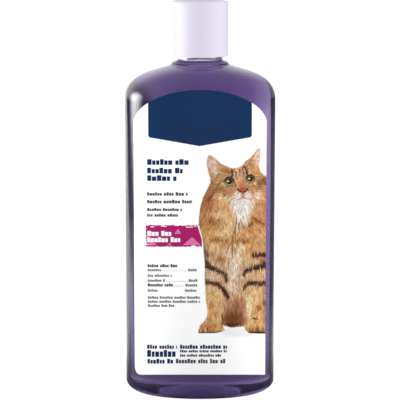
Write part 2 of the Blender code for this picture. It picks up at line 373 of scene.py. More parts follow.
def label_film(name, painted):
    """White film, with the ink of its picture held in the mesh's own colours."""
    film = Material(name)
    tint = film.mix(film.noise(120, 3), (0.98, 0.98, 0.98), (1.0, 1.0, 1.0))
    if painted:
        layer = film.add("ShaderNodeVertexColor", layer_name="print")
        tint = film.mix(1.0, tint, layer.outputs["Color"], "MULTIPLY")
    film.set(Base_Color=tint, Specular_IOR_Level=0.15)
    film.set(Roughness=film.spread(film.noise(400, 3), 0.32, 0.44))
    film.bump(film.noise(1800, 2), 0.003 * MM)
    return film.material


def film_back_painted_glow():
    """The film's back, with a painted glow in place of the light that comes through the film."""
    film = Material("film_back_painted_glow")
    tint = film.mix(film.noise(120, 3), (0.80, 0.80, 0.80), (0.84, 0.84, 0.84))
    # Painted glow: the film's back gives off light in its own grey
    film.set(Base_Color=tint, Emission_Color=tint, Emission_Strength=1.0, Roughness=0.6)
    return film.material


# ---------------------------------------------------------------- bottle

def bezier(a, b, c, d, t):
    s = 1 - t
    return s ** 3 * a + 3 * s * s * t * b + 3 * s * t * t * c + t ** 3 * d


class Skin:
    """One surface of the body, set in from the outer one."""

    def __init__(self, inset, neck_radius, top):
        self.half_width = HALF_WIDTH - inset
        self.half_depth = HALF_DEPTH - inset
        self.neck_radius = neck_radius
        self.top = top
        self.floor = inset
        self.heel_height = HEEL_HEIGHT - inset
        self.crown = SHOULDER_START + SHOULDER_BULGE - inset

    def shoulder(self, t):
        """How far out the shoulder is, 0 at the neck and 1 at the body, and its height."""
        spread = bezier(0, SHOULDER_SPREAD, 1, 1, t)
        height = bezier(self.top, self.top - SHOULDER_DROP, self.crown, SHOULDER_START, t)
        return spread, height

    def section(self, spread, height):
        radius = self.neck_radius
        return (
            radius + (self.half_width - radius) * spread,
            radius + (self.half_depth - radius) * spread,
            height,
            2 + (BODY_EXPONENT - 2) * spread,
        )

    def rings(self):
        """From the middle of the domed base, over the foot and heel, and up to the neck."""
        foot_x = self.half_width - HEEL_INSET_X
        foot_y = self.half_depth - HEEL_INSET_Y
        dome_x, dome_y = foot_x - FOOT_WIDTH, foot_y - FOOT_WIDTH
        rings = []
        for share in np.linspace(0.03, 0.985, 20):
            height = self.floor + PUSH_UP * (1 - share ** 2)
            rings.append(superellipse(dome_x * share, dome_y * share, height, BODY_EXPONENT))
        for share in (0.02, 0.1, 0.4, 0.8):
            rings.append(superellipse(
                dome_x + (foot_x - dome_x) * share, dome_y + (foot_y - dome_y) * share,
                self.floor, BODY_EXPONENT))
        for angle in np.linspace(0, math.pi / 2, 18):
            inset = 1 - math.sin(angle)
            rings.append(superellipse(
                self.half_width - HEEL_INSET_X * inset,
                self.half_depth - HEEL_INSET_Y * inset,
                self.floor + self.heel_height * (1 - math.cos(angle)),
                BODY_EXPONENT))
        for height in np.linspace(HEEL_HEIGHT, SHOULDER_START, 42)[1:-1]:
            rings.append(superellipse(*self.section(1, height)))
        for t in np.linspace(1, 0, 56):
            rings.append(superellipse(*self.section(*self.shoulder(t))))
        return rings


OUTER_SKIN = Skin(0.0, COLLAR_RADIUS, SHOULDER_TOP)
INNER_SKIN = Skin(WALL, BORE_RADIUS + 0.4 * MM, SHOULDER_TOP + 0.2 * MM)
FLUID_SKIN = Skin(WALL - 0.15 * MM, BORE_RADIUS + 0.55 * MM, SHOULDER_TOP + 0.35 * MM)


# The collar's corners: radius, and height above the shoulder
COLLAR = [
    (14.05 * MM, 0.15 * MM),
    (13.75 * MM, 0.90 * MM),
    (13.10 * MM, 1.65 * MM),
    (11.90 * MM, 2.05 * MM),
    (NECK_RADIUS + 0.05 * MM, 2.20 * MM),
    (NECK_RADIUS, 3.10 * MM),
]
NECK_LIP = 0.45 * MM
RING_STEP = 0.14 * MM            # between the rings that a thread is shaped on


def collar_and_neck():
    """The low round collar, and the neck with its thread and lip."""
    top = SHOULDER_TOP
    corners = [superellipse(*OUTER_SKIN.section(*OUTER_SKIN.shoulder(t))) for t in (0.09, 0.03)]
    corners += [circle(radius, top + rise) for radius, rise in COLLAR]
    rings = soften(corners, 3)
    for height in np.arange(top + 3.6 * MM, NECK_TOP - 0.8 * MM, RING_STEP):
        out = thread_height(height, THREAD_START, 2.0 * MM, 0.9 * MM)
        rings.append(circle(NECK_RADIUS + (THREAD_RADIUS - NECK_RADIUS) * out, height))
    lip = rounded_edge(NECK_RADIUS, NECK_TOP, NECK_LIP, 6)
    lip += rounded_edge(BORE_RADIUS, NECK_TOP, NECK_LIP, 6, inner=True)
    return rings + [circle(radius, height) for radius, height in lip]


def wall_ripple(rings):
    """The blown wall's uneven thickness, as slow waves of its inside."""
    rings = np.array(rings)
    height = rings[..., 2]
    around = np.arctan2(rings[..., 1] / HALF_DEPTH, rings[..., 0] / HALF_WIDTH)
    wave = np.sin(3 * around + 38 * height) * 0.5 + np.sin(7 * around - 61 * height + 1.3) * 0.3
    wave += np.sin(90 * height + 2 * around) * 0.2
    scale = 1 + RIPPLE * wave * smoothstep(0, 0.02, height) * smoothstep(0.165, 0.15, height)
    rings[..., 0] *= scale
    rings[..., 1] *= scale
    return list(rings)


def make_bottle():
    heights = np.linspace(NECK_TOP - 0.6 * MM, SHOULDER_TOP + 1.2 * MM, 16)
    bore = [circle(BORE_RADIUS, height) for height in heights]
    inside = wall_ripple(INNER_SKIN.rings())
    rings = OUTER_SKIN.rings()[:-5] + collar_and_neck() + bore + inside[::-1]
    bottle = loft("bottle_shell", rings, clear_pet())
    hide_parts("bottle")
    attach(bottle, "bottle")


def make_shampoo():
    """The shampoo meets the wall a little inside it, so no air shows between them."""
    edge = BORE_RADIUS + 0.15 * MM
    surface = [
        (edge, SHOULDER_TOP + 1.2 * MM),
        (edge, FILL_LEVEL + 0.50 * MM),
        (BORE_RADIUS - 0.15 * MM, FILL_LEVEL + 0.42 * MM),
        (BORE_RADIUS - 0.50 * MM, FILL_LEVEL + 0.16 * MM),
        (BORE_RADIUS - 1.00 * MM, FILL_LEVEL + 0.04 * MM),
        (BORE_RADIUS - 1.80 * MM, FILL_LEVEL),
        (0.30 * MM, FILL_LEVEL),
    ]
    rings = wall_ripple(FLUID_SKIN.rings()) + [circle(radius, height) for radius, height in surface]
    shampoo = loft("shampoo_fill", rings, violet_shampoo())
    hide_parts("shampoo")
    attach(shampoo, "bottle")


# ---------------------------------------------------------------- cap

CAP_EDGE = 0.55 * MM
CAP_FOOT_EDGE = 0.25 * MM
RECESS_EDGE = 0.3 * MM
BOSS_RADIUS = 3.2 * MM
BOSS_TOP = PIVOT_HEIGHT - 3.3 * MM
PIN_RADIUS = 1.2 * MM
SOCKET_RADIUS = 1.5 * MM
SPOUT_HALF_WIDTH = 2.2 * MM
SPOUT_DROP = 1.25 * MM           # how far the spout's bore lies below the pins, and its radius


def cross_rod(name, start, end, radius, material, sides=48):
    """A rod along X at the height of the pins."""
    return rod(name, (start, 0, PIVOT_HEIGHT), (end, 0, PIVOT_HEIGHT), radius, material, sides)


def make_cap(plastic):
    profile = [(CAP_BORE + 0.35 * MM, CAP_FOOT), (CAP_RADIUS - CAP_FOOT_EDGE, CAP_FOOT)]
    for angle in np.linspace(0, math.pi / 2, 5)[1:]:
        profile.append((CAP_RADIUS - CAP_FOOT_EDGE * (1 - math.sin(angle)),
                        CAP_FOOT + CAP_FOOT_EDGE * (1 - math.cos(angle))))
    heights = np.linspace(CAP_FOOT + 0.6 * MM, CAP_TOP - CAP_EDGE, 12)
    profile += [(CAP_RADIUS, height) for height in heights]
    profile += rounded_edge(CAP_RADIUS, CAP_TOP, CAP_EDGE, 8)[1:]
    profile += rounded_edge(RECESS_RADIUS, CAP_TOP, RECESS_EDGE, 5, inner=True)
    profile += [
        (RECESS_RADIUS, RECESS_FLOOR + 0.3 * MM),
        (RECESS_RADIUS - 0.1 * MM, RECESS_FLOOR + 0.1 * MM),
        (RECESS_RADIUS - 0.3 * MM, RECESS_FLOOR),
        (BOSS_RADIUS + 0.2 * MM, RECESS_FLOOR),
        (BOSS_RADIUS, RECESS_FLOOR + 0.2 * MM),
        (BOSS_RADIUS, BOSS_TOP),
        (ORIFICE_RADIUS, BOSS_TOP),
        (ORIFICE_RADIUS, DECK_UNDER),
        (CAP_BORE - 0.2 * MM, DECK_UNDER),
        (CAP_BORE, DECK_UNDER - 0.2 * MM),
    ]
    rings = [circle(radius, height) for radius, height in profile]
    start = THREAD_START - THREAD_PITCH / 2
    for height in np.arange(DECK_UNDER - 0.5 * MM, CAP_FOOT + 0.7 * MM, -RING_STEP):
        out = thread_height(height, start, 1.5 * MM, 0.6 * MM)
        rings.append(circle(CAP_BORE - (CAP_BORE - CAP_THREAD_RADIUS) * out, height))
    cap = loft("cap_shell", rings, plastic, closed=True, smooth_angle=50)
    cut(cap, cross_rod("seat", -5 * MM, 5 * MM, VALVE_RADIUS + 0.3 * MM, plastic, 96))
    for side in (-1, 1):
        cut(cap, cross_rod("socket", side * 11.0 * MM, side * 13.0 * MM, SOCKET_RADIUS, plastic))
    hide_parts("cap_body")
    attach(cap, "cap")


def make_disc(plastic):
    """The disc, with a finger's dish pressed in its back half and the valve and spout below."""
    edge = 0.3 * MM
    profile = [
        (0.2 * MM, DISC_UNDER),
        (DISC_RADIUS - 0.1 * MM, DISC_UNDER),
        (DISC_RADIUS, DISC_UNDER + 0.1 * MM),
    ]
    profile += rounded_edge(DISC_RADIUS, DISC_TOP, edge, 6)
    profile += [(radius, DISC_TOP) for radius in np.linspace(DISC_RADIUS - 2 * edge, 0.2 * MM, 24)]
    rings = np.array([circle(radius, height) for radius, height in profile])
    x, y, z = rings[..., 0], rings[..., 1], rings[..., 2]
    dish = smoothstep(0, 0.9, 1 - ((x / (8.4 * MM)) ** 2 + ((y - 5.2 * MM) / (4.6 * MM)) ** 2))
    rings[..., 2] = np.where(z > DISC_TOP - 0.01 * MM, z - 0.5 * MM * dish, z)
    disc = loft("press_disc_moulding", rings, plastic, smooth_angle=50)
    for side in (-1, 1):
        pin = cross_rod("pin", side * 9.5 * MM, side * 12.7 * MM, PIN_RADIUS, plastic)
        cut(disc, pin, "UNION")
    valve = cross_rod("valve", -2.8 * MM, 2.8 * MM, VALVE_RADIUS, plastic, 96)
    reach = 9 * MM
    cut(valve, box("top", (-reach, -reach, DISC_TOP - 0.9 * MM),
                   (reach, reach, DISC_TOP + reach), plastic))
    cut(disc, valve, "UNION")
    cut(disc, box("spout", (-SPOUT_HALF_WIDTH, -11.0 * MM, PIVOT_HEIGHT - 2.8 * MM),
                  (SPOUT_HALF_WIDTH, 0, DISC_UNDER + 0.5 * MM), plastic), "UNION")
    bore = PIVOT_HEIGHT - SPOUT_DROP
    cut(disc, rod("outlet", (0, -13 * MM, bore), (0, 0.6 * MM, bore), SPOUT_DROP, plastic))
    inlet = (0, 6 * MM * math.sin(DISC_TILT), PIVOT_HEIGHT - 6 * MM * math.cos(DISC_TILT))
    cut(disc, rod("inlet", (0, 0, PIVOT_HEIGHT), inlet, ORIFICE_RADIUS, plastic))
    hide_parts("press_disc")
    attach(disc, "disc")


# ---------------------------------------------------------------- cat

# The part of the label that the cat is painted on, and its grid, in millimetres
CAT_LEFT, CAT_RIGHT = -1.5, 31.35
CAT_LOW, CAT_HIGH = 30.5, 124.5
CAT_STEP = 0.25
CAT_SEED = 24410                 # for the random hairs
PAPER = (250, 250, 251)          # colours here are as seen, 0 to 255

# The cat's outline, in millimetres on the label: up its left side, over the head, down the right
CAT_OUTLINE = [
    (-0.7, 33.9), (-0.7, 35.6), (0.0, 37.8), (2.2, 40.0), (3.4, 42.4), (3.5, 46.2), (2.8, 49.5),
    (2.6, 55.5), (2.3, 61.0), (2.3, 68.0), (1.8, 73.0), (1.3, 79.0), (0.4, 83.0), (-0.6, 87.0),
    (-0.5, 90.0), (0.1, 95.0), (0.6, 97.0), (1.4, 99.7), (2.8, 102.6), (4.0, 105.0), (5.0, 107.3),
    (5.0, 109.0), (4.0, 111.7), (3.2, 115.2), (3.1, 117.6), (3.9, 120.2), (5.3, 120.0),
    (7.3, 118.6), (9.7, 116.4), (12.3, 115.0), (15.1, 113.9), (18.0, 114.3), (20.2, 115.4),
    (21.1, 117.0), (23.7, 118.8), (25.1, 120.5), (27.2, 123.3), (28.2, 123.6), (28.5, 121.2),
    (28.3, 117.6), (27.9, 115.2), (28.4, 112.7), (30.1, 110.9), (33.0, 108.5), (33.0, 33.6),
    (23.7, 33.9), (21.9, 35.1), (21.1, 37.2), (15.0, 36.6), (11.0, 37.6), (12.0, 35.1),
    (10.4, 34.6), (7.2, 33.9),
]

# Soft patches of colour: centre, half sizes, tilt in degrees, colour, strength
COAT = [
    (15, 104, 20, 12, 0, (186, 140, 98), 1.0),       # head
    (14, 86, 22, 14, 0, (208, 158, 106), 1.0),       # chest
    (16, 62, 20, 14, 0, (208, 168, 128), 1.0),       # forelegs and belly
    (16, 42, 20, 12, 0, (222, 174, 120), 1.0),       # lower legs
    (0.6, 91.0, 1.5, 9.0, 0, (158, 112, 78), 0.8),
    (1.9, 76.0, 1.1, 6.0, 0, (150, 118, 96), 0.8),
    (3.0, 54.0, 0.9, 12.0, 0, (196, 156, 118), 0.7),
    (30.8, 92.0, 1.4, 14.0, 0, (178, 128, 90), 0.6),
    (30.9, 50.0, 0.9, 14.0, 0, (186, 140, 104), 0.7),
    (10.8, 52.0, 1.2, 8.0, 0, (206, 160, 120), 0.6),
    (2.5, 98, 3.2, 9, -20, (150, 92, 52), 0.75),     # shadowed left cheek and neck
    (5.5, 104, 2.2, 6, -25, (166, 112, 70), 0.7),
    (6.5, 97, 5, 2.0, 25, (176, 108, 62), 0.7),
    (9.5, 96.5, 3.5, 2.5, 0, (226, 158, 104), 0.6),
    (2.2, 90, 3.0, 5.5, 0, (196, 134, 90), 0.7),
    (4.8, 89, 3.2, 2.8, 30, (158, 102, 56), 0.65),
    (8.2, 88.5, 3.0, 2.6, 40, (172, 122, 72), 0.6),
    (3.0, 84.5, 3.5, 4.0, 0, (200, 150, 76), 0.7),
    (10.5, 92.0, 4.5, 2.2, 0, (236, 196, 152), 0.75),
    (13.5, 88.0, 3.0, 5.0, 0, (234, 188, 140), 0.75),
    (10.8, 83.2, 4.5, 1.8, 0, (232, 194, 140), 0.7),
    (20.5, 82.5, 5.0, 2.4, 0, (214, 156, 106), 0.5),
    (27.5, 92.5, 4.0, 4.5, 40, (206, 146, 96), 0.75),
    (27.3, 88.8, 4.0, 1.5, -25, (150, 88, 44), 0.75),
    (23.5, 87.0, 1.8, 2.2, 0, (152, 96, 50), 0.65),
    (28.5, 82.5, 4.0, 3.0, 0, (214, 164, 108), 0.7),
    (25.5, 84.0, 3.0, 4.0, 0, (188, 132, 82), 0.5),
    (9.2, 79.8, 5.2, 1.15, -4, (158, 84, 38), 0.85),  # the band across the chest
    (20.5, 79.3, 4.6, 1.0, 0, (150, 92, 48), 0.75),
    (21.4, 78.8, 1.2, 0.9, 0, (104, 50, 18), 0.8),
    (7.5, 76.0, 4.5, 2.2, 0, (230, 184, 140), 0.75),
    (18.8, 76.8, 3.2, 1.7, 0, (250, 216, 176), 0.9),
    (13.0, 73.5, 2.6, 3.0, 0, (240, 208, 178), 0.8),
    (18.0, 72.0, 2.4, 4.5, 0, (240, 208, 172), 0.85),
    (24.5, 76.0, 3.0, 3.0, 40, (204, 148, 94), 0.6),
    (29.0, 77.0, 3.2, 2.5, 0, (196, 140, 88), 0.6),
    (10.3, 70.6, 2.6, 1.4, 10, (142, 90, 50), 0.75),
    (2.6, 72.6, 1.8, 2.4, 0, (104, 72, 56), 0.8),
    (5.8, 72.2, 1.8, 0.8, 25, (150, 108, 66), 0.6),
    (28.5, 69.6, 3.4, 1.0, 5, (206, 152, 106), 0.6),
    (6.8, 62.6, 5.2, 2.0, -8, (226, 186, 152), 0.85),  # pale fur between the bars of the legs
    (27.0, 62.4, 5.2, 2.4, 6, (216, 168, 126), 0.85),
    (15.8, 62.0, 3.4, 10.5, 0, (230, 202, 178), 0.9),  # pale belly
    (18.6, 60.0, 2.0, 8.0, 0, (204, 170, 140), 0.6),
    (16.3, 67.0, 1.6, 4.5, 0, (240, 220, 202), 0.8),
    (7.0, 52.5, 4.2, 4.0, 0, (226, 178, 122), 0.8),
    (26.0, 53.0, 4.4, 4.0, 0, (230, 186, 132), 0.8),
    (9.0, 46.5, 2.6, 4.5, 0, (232, 178, 130), 0.8),
    (23.4, 47.5, 1.5, 6.0, 0, (248, 222, 176), 0.9),
    (24.0, 38.0, 1.6, 2.6, 0, (236, 196, 140), 0.7),
    (16.6, 45.5, 5.4, 6.6, 0, (166, 112, 82), 1.0),   # shaded belly behind the legs
    (13.4, 50.0, 2.2, 3.8, 0, (190, 146, 118), 0.7),
    (20.0, 49.0, 1.8, 3.4, 0, (170, 112, 84), 0.9),
    (16.4, 41.2, 5.6, 3.6, 0, (118, 66, 40), 1.0),
    (19.8, 40.6, 1.8, 3.2, 0, (140, 92, 66), 0.8),
    (15.4, 38.2, 5.0, 0.9, -4, (60, 24, 12), 1.0),
    (5.4, 47.2, 1.5, 1.5, 0, (190, 122, 62), 0.8),     # spots
    (6.6, 43.6, 1.6, 0.9, 15, (182, 122, 62), 0.8),
    (4.4, 40.6, 1.3, 0.6, 0, (164, 118, 58), 0.8),
    (28.2, 46.6, 1.6, 1.4, -30, (176, 104, 56), 0.8),
    (30.6, 48.8, 1.0, 1.4, 0, (120, 70, 48), 0.8),
    (26.0, 44.5, 2.0, 1.2, 20, (206, 146, 92), 0.6),
    (5.6, 37.6, 3.0, 1.8, 0, (186, 112, 66), 0.85),    # left paw
    (1.4, 37.0, 1.5, 1.3, 0, (190, 124, 86), 0.8),
    (9.6, 37.6, 1.4, 2.0, 0, (198, 158, 96), 0.7),
    (5.0, 34.9, 5.2, 0.7, 0, (120, 82, 50), 0.8),
    (27.6, 38.2, 2.4, 1.3, 10, (222, 164, 92), 0.8),   # right paw
    (24.0, 37.0, 1.2, 1.2, 0, (232, 166, 100), 0.8),
    (27.0, 36.0, 4.0, 0.9, 0, (176, 112, 62), 0.7),
    (27.0, 34.8, 4.6, 0.7, 0, (92, 54, 30), 0.8),
    # head
    (6.0, 115.5, 2.2, 3.8, 8, (222, 188, 178), 0.95),  # inside of the left ear
    (7.4, 113.0, 2.6, 2.4, -30, (226, 190, 160), 0.8),
    (10.4, 113.4, 2.0, 2.2, 0, (198, 152, 96), 0.7),
    (12.8, 112.4, 2.4, 1.3, -25, (146, 96, 56), 0.75),
    (26.9, 118.8, 1.5, 4.0, -12, (232, 198, 182), 0.95),  # inside of the right ear
    (24.6, 117.0, 1.6, 2.2, -35, (206, 158, 118), 0.8),
    (23.6, 115.0, 2.2, 1.6, 0, (170, 122, 84), 0.75),
    (26.3, 112.9, 1.8, 1.6, 0, (218, 142, 86), 0.85),
    (23.4, 112.4, 0.9, 1.3, 0, (226, 186, 150), 0.7),
    (18.5, 111.8, 3.2, 2.6, 0, (222, 178, 142), 0.85),  # forehead
    (19.3, 108.8, 1.8, 3.4, 0, (204, 152, 118), 0.85),
    (16.6, 107.6, 0.9, 2.4, 26, (238, 196, 158), 0.9),
    (21.8, 107.2, 0.8, 1.8, -8, (226, 186, 146), 0.8),
    (11.6, 109.6, 1.5, 0.8, -25, (206, 156, 94), 0.7),
    (11.2, 106.4, 1.8, 0.8, -15, (232, 196, 150), 0.8),
    (26.7, 107.0, 1.6, 0.8, 28, (238, 204, 160), 0.85),
    (14.2, 104.6, 2.6, 0.9, 8, (190, 140, 100), 0.7),
    (9.4, 104.0, 2.4, 1.0, 20, (140, 84, 46), 0.7),
    (12.4, 102.8, 2.2, 1.0, -20, (156, 108, 66), 0.65),
    (16.0, 103.4, 1.6, 1.0, -30, (196, 136, 88), 0.7),
    (11.5, 99.4, 3.6, 1.8, 0, (234, 206, 164), 0.8),
    (15.2, 98.8, 2.2, 1.8, 0, (238, 210, 176), 0.8),
    (8.0, 100.6, 2.4, 1.0, 30, (214, 158, 116), 0.7),
    (28.0, 107.0, 2.0, 1.3, -30, (128, 86, 48), 0.8),
    (30.6, 108.4, 1.3, 2.4, 0, (126, 82, 56), 0.8),
    (27.0, 104.6, 3.2, 0.9, -12, (160, 116, 76), 0.7),
    (24.6, 103.9, 1.4, 0.9, 0, (190, 144, 108), 0.6),
    (27.4, 100.6, 2.6, 2.2, -30, (240, 212, 182), 0.85),
    (30.0, 100.0, 1.6, 2.6, -20, (208, 154, 110), 0.8),
    (29.5, 96.5, 2.4, 1.8, -40, (190, 124, 80), 0.75),
    (20.4, 98.0, 5.8, 2.2, 0, (240, 228, 218), 1.0),  # chin and bib
    (19.6, 95.2, 5.8, 2.8, 0, (238, 228, 218), 1.0),
    (20.4, 92.0, 4.0, 3.2, 0, (236, 222, 206), 1.0),
    (19.0, 89.0, 3.0, 2.4, 0, (232, 204, 186), 0.9),
    (21.6, 88.4, 1.5, 2.6, 12, (232, 202, 182), 0.85),
    (18.0, 86.4, 1.6, 2.2, -6, (236, 204, 172), 0.8),
    (18.0, 101.2, 2.3, 1.7, 12, (248, 236, 226), 1.0),  # muzzle
    (22.8, 101.4, 2.0, 2.0, 0, (236, 210, 206), 1.0),
]

DARK, BROWN = (46, 28, 16), (104, 66, 32)

# Soft lines: points, width in millimetres at the start and end, colour, strength
MARKINGS = [
    ([(2.4, 68.4), (5.1, 66.0), (7.8, 65.2), (10.4, 64.0), (12.1, 62.3), (12.7, 59.6)],
     2.6, 1.5, (62, 44, 28), 0.95),
    ([(2.6, 66.4), (4.6, 65.4), (6.8, 65.0)], 1.0, 0.5, DARK, 0.9),
    ([(2.3, 64.5), (2.5, 61.5)], 0.5, 0.4, BROWN, 0.7),
    ([(2.6, 59.2), (5.6, 58.7), (8.6, 57.7), (10.4, 56.0), (12.0, 53.8), (13.4, 51.4)],
     2.0, 1.9, (66, 38, 26), 0.95),
    ([(10.6, 56.6), (12.4, 53.9)], 1.3, 1.3, (56, 34, 18), 0.8),
    ([(20.8, 62.4), (21.6, 64.0), (23.3, 65.5), (26.4, 66.2), (28.5, 66.9), (33.0, 67.2)],
     1.0, 3.8, (42, 30, 18), 0.95),
    ([(21.1, 56.4), (22.4, 58.1), (25.3, 58.6), (27.7, 58.3), (33.0, 58.5)],
     1.8, 2.4, (72, 46, 32), 0.95),
    ([(22.6, 58.2), (26.0, 58.7)], 1.5, 1.4, (44, 38, 22), 0.8),
    ([(25.3, 72.3), (28.0, 72.3), (33.0, 72.0)], 2.0, 2.5, (60, 30, 18), 0.95),
    ([(29.5, 69.6), (33.0, 69.2)], 0.9, 1.2, (96, 56, 44), 0.8),
    ([(26.0, 62.8), (29.5, 63.2)], 0.35, 0.3, (170, 112, 70), 0.7),
    ([(25.6, 41.4), (27.9, 40.5)], 0.8, 0.3, (70, 36, 14), 0.9),
    ([(25.2, 43.2), (28.0, 44.6)], 0.3, 0.3, (168, 112, 66), 0.7),
    ([(3.5, 36.4), (3.5, 35.1)], 0.55, 0.4, DARK, 0.9),
    ([(6.4, 35.9), (6.3, 35.0)], 0.4, 0.4, BROWN, 0.8),
    ([(25.3, 36.2), (25.3, 34.9)], 0.45, 0.4, BROWN, 0.9),
    ([(27.7, 37.0), (27.7, 35.0)], 0.5, 0.5, (84, 46, 24), 0.9),
    ([(30.2, 36.2), (30.0, 34.8)], 0.5, 0.4, BROWN, 0.9),
    ([(-0.7, 34.2), (3.0, 34.0), (7.2, 34.1), (10.0, 34.9)], 0.75, 0.4, (34, 24, 16), 1.0),
    ([(23.2, 34.3), (26.0, 34.1), (33.0, 34.0)], 0.6, 0.9, (24, 14, 8), 1.0),
    ([(-0.6, 35.8), (-0.4, 34.6)], 0.5, 0.6, (80, 76, 64), 0.8),
    ([(10.6, 43.4), (10.9, 38.6)], 0.5, 0.7, (60, 26, 12), 0.8),
    ([(15.2, 78.6), (13.7, 76.5), (12.6, 73.0)], 0.3, 0.5, (140, 96, 52), 0.8),
    ([(15.4, 79.2), (15.4, 73.1), (15.9, 70.6)], 0.45, 0.3, (112, 74, 34), 0.9),
    ([(17.3, 90.6), (17.4, 88.6), (16.8, 85.9), (17.1, 84.6), (16.1, 82.5), (15.3, 80.4)],
     0.25, 0.45, (112, 74, 30), 0.9),
    ([(18.6, 87.8), (18.5, 85.2), (18.8, 83.2)], 0.6, 0.3, (120, 84, 48), 0.9),
    ([(19.2, 89.4), (20.1, 87.0), (21.2, 85.2)], 0.35, 0.5, (120, 84, 56), 0.9),
    ([(24.3, 88.2), (24.0, 86.8), (22.2, 85.2)], 0.8, 0.5, (112, 66, 28), 0.8),
    ([(25.8, 89.8), (27.6, 88.4), (30.2, 87.4)], 0.6, 0.5, (122, 66, 28), 0.9),
    ([(11.7, 88.4), (12.0, 86.6)], 0.45, 0.6, (128, 82, 44), 0.9),
    ([(8.7, 89.6), (7.6, 87.2)], 0.4, 0.5, (112, 74, 34), 0.8),
    ([(10.2, 84.6), (9.7, 83.8)], 0.4, 0.35, BROWN, 0.8),
    ([(5.4, 90.2), (4.4, 87.6)], 0.6, 0.6, (130, 78, 36), 0.8),
    ([(15.5, 52.5), (15.9, 55.0)], 0.5, 0.3, (150, 108, 82), 0.8),
    # stripes on the forehead
    ([(14.9, 113.6), (15.5, 111.7), (15.3, 109.9)], 0.8, 0.9, (70, 38, 18), 1.0),
    ([(16.4, 113.2), (17.0, 111.4), (17.1, 110.0)], 0.6, 0.4, (116, 76, 48), 0.9),
    ([(18.8, 113.2), (18.8, 110.4)], 0.7, 0.4, (118, 78, 48), 0.9),
    ([(20.0, 114.2), (20.6, 111.8), (20.5, 110.0)], 0.6, 0.5, (106, 66, 40), 0.9),
    ([(20.8, 114.9), (21.8, 113.0), (22.3, 111.2)], 0.7, 0.8, (66, 36, 16), 1.0),
    ([(21.3, 117.0), (22.4, 118.0), (23.7, 118.9)], 0.45, 0.2, (78, 66, 50), 1.0),
    ([(23.9, 119.0), (25.4, 120.8), (27.2, 123.2)], 0.25, 0.25, (178, 136, 96), 0.9),
    ([(5.4, 119.9), (8.6, 117.6), (12.2, 115.2), (14.8, 113.7)], 0.3, 0.5, (152, 108, 70), 0.85),
    ([(3.5, 119.8), (3.4, 117.0), (3.6, 114.6)], 0.5, 0.5, (206, 186, 172), 0.9),
    ([(4.4, 112.6), (5.8, 113.4)], 0.3, 0.25, (160, 124, 122), 0.8),
    ([(28.2, 123.2), (28.2, 118.0), (27.9, 114.0)], 0.45, 0.4, (204, 178, 150), 0.8),
    # cheeks
    ([(11.4, 107.8), (9.9, 107.2), (8.8, 106.3), (7.8, 104.2), (5.5, 100.5)],
     0.45, 0.8, (118, 66, 32), 0.9),
    ([(5.3, 100.6), (3.8, 98.6)], 0.9, 1.1, (112, 58, 28), 0.8),
    ([(5.2, 108.4), (6.2, 106.6)], 0.5, 0.5, (130, 88, 54), 0.7),
    ([(8.5, 111.0), (7.2, 108.4)], 0.8, 0.5, (150, 104, 66), 0.7),
    ([(12.8, 100.9), (16.6, 101.1)], 0.3, 0.3, (196, 142, 92), 0.8),
    ([(14.8, 99.2), (16.6, 99.7)], 0.35, 0.3, (190, 134, 88), 0.8),
    ([(11.2, 101.6), (12.4, 101.0)], 0.6, 0.4, (120, 92, 56), 0.8),
    ([(23.9, 102.2), (25.6, 101.9)], 0.35, 0.25, (150, 104, 74), 0.9),
    ([(24.2, 101.0), (25.4, 100.7)], 0.25, 0.2, (172, 128, 96), 0.9),
    ([(26.0, 109.6), (28.6, 109.9)], 0.5, 0.3, (122, 90, 42), 0.8),
    ([(29.6, 108.2), (31.4, 105.8)], 0.9, 1.0, (116, 66, 40), 0.8),
    # mouth, nose and the rims of the eyes
    ([(20.35, 102.2), (20.35, 100.1), (19.8, 99.8), (18.5, 99.2), (17.2, 98.5)],
     0.38, 0.25, (112, 82, 74), 0.95),
    ([(20.35, 100.1), (21.2, 99.7), (23.0, 99.3), (24.8, 98.9)], 0.4, 0.2, (130, 98, 96), 0.9),
    ([(16.0, 108.6), (16.6, 106.8), (16.9, 105.0)], 0.35, 0.65, (82, 44, 34), 0.95),
    ([(21.6, 107.4), (21.9, 105.8), (23.4, 105.0)], 0.35, 0.3, (120, 78, 40), 0.9),
]


def nearest(x, z, ax, az, bx, bz):
    """How far along the line from a to b each place is, 0 to 1, and how far it is from it."""
    run, rise = bx - ax, bz - az
    along = np.clip(((x - ax) * run + (z - az) * rise) / (run ** 2 + rise ** 2), 0, 1)
    return along, np.hypot(x - ax - along * run, z - az - along * rise)


def on_line(x, z, points, start_width, end_width):
    """Cover of a soft line that changes width evenly from one end to the other."""
    points = np.array(points, float)
    steps = np.linalg.norm(np.diff(points, axis=0), axis=1)
    total, gone = steps.sum(), 0.0
    cover = np.zeros(x.shape)
    for start, end, length in zip(points[:-1], points[1:], steps):
        along, away = nearest(x, z, *start, *end)
        width = start_width + (end_width - start_width) * (gone + along * length) / total
        cover = np.maximum(cover, 1 - smoothstep(0.30, 0.75, away / width))
        gone += length
    return cover


def in_patch(x, z, centre_x, centre_z, half_x, half_z, tilt):
    """Cover of a soft oval patch."""
    c, s = math.cos(math.radians(tilt)), math.sin(math.radians(tilt))
    u = ((x - centre_x) * c + (z - centre_z) * s) / half_x
    v = (-(x - centre_x) * s + (z - centre_z) * c) / half_z
    return 1 - smoothstep(0.55, 1.25, np.hypot(u, v))


def inside_outline(x, z, outline):
    """Cover of a closed outline, soft over about a third of a millimetre."""
    inside = np.zeros(x.shape, bool)
    distance = np.full(x.shape, 99.0)
    for (ax, az), (bx, bz) in zip(outline, outline[1:] + outline[:1]):
        if az != bz:
            crosses = (az > z) != (bz > z)
            inside ^= crosses & (x < (bx - ax) * (z - az) / (bz - az) + ax)
        distance = np.minimum(distance, nearest(x, z, ax, az, bx, bz)[1])
    return np.clip(0.5 + np.where(inside, distance, -distance) / 0.35, 0, 1)


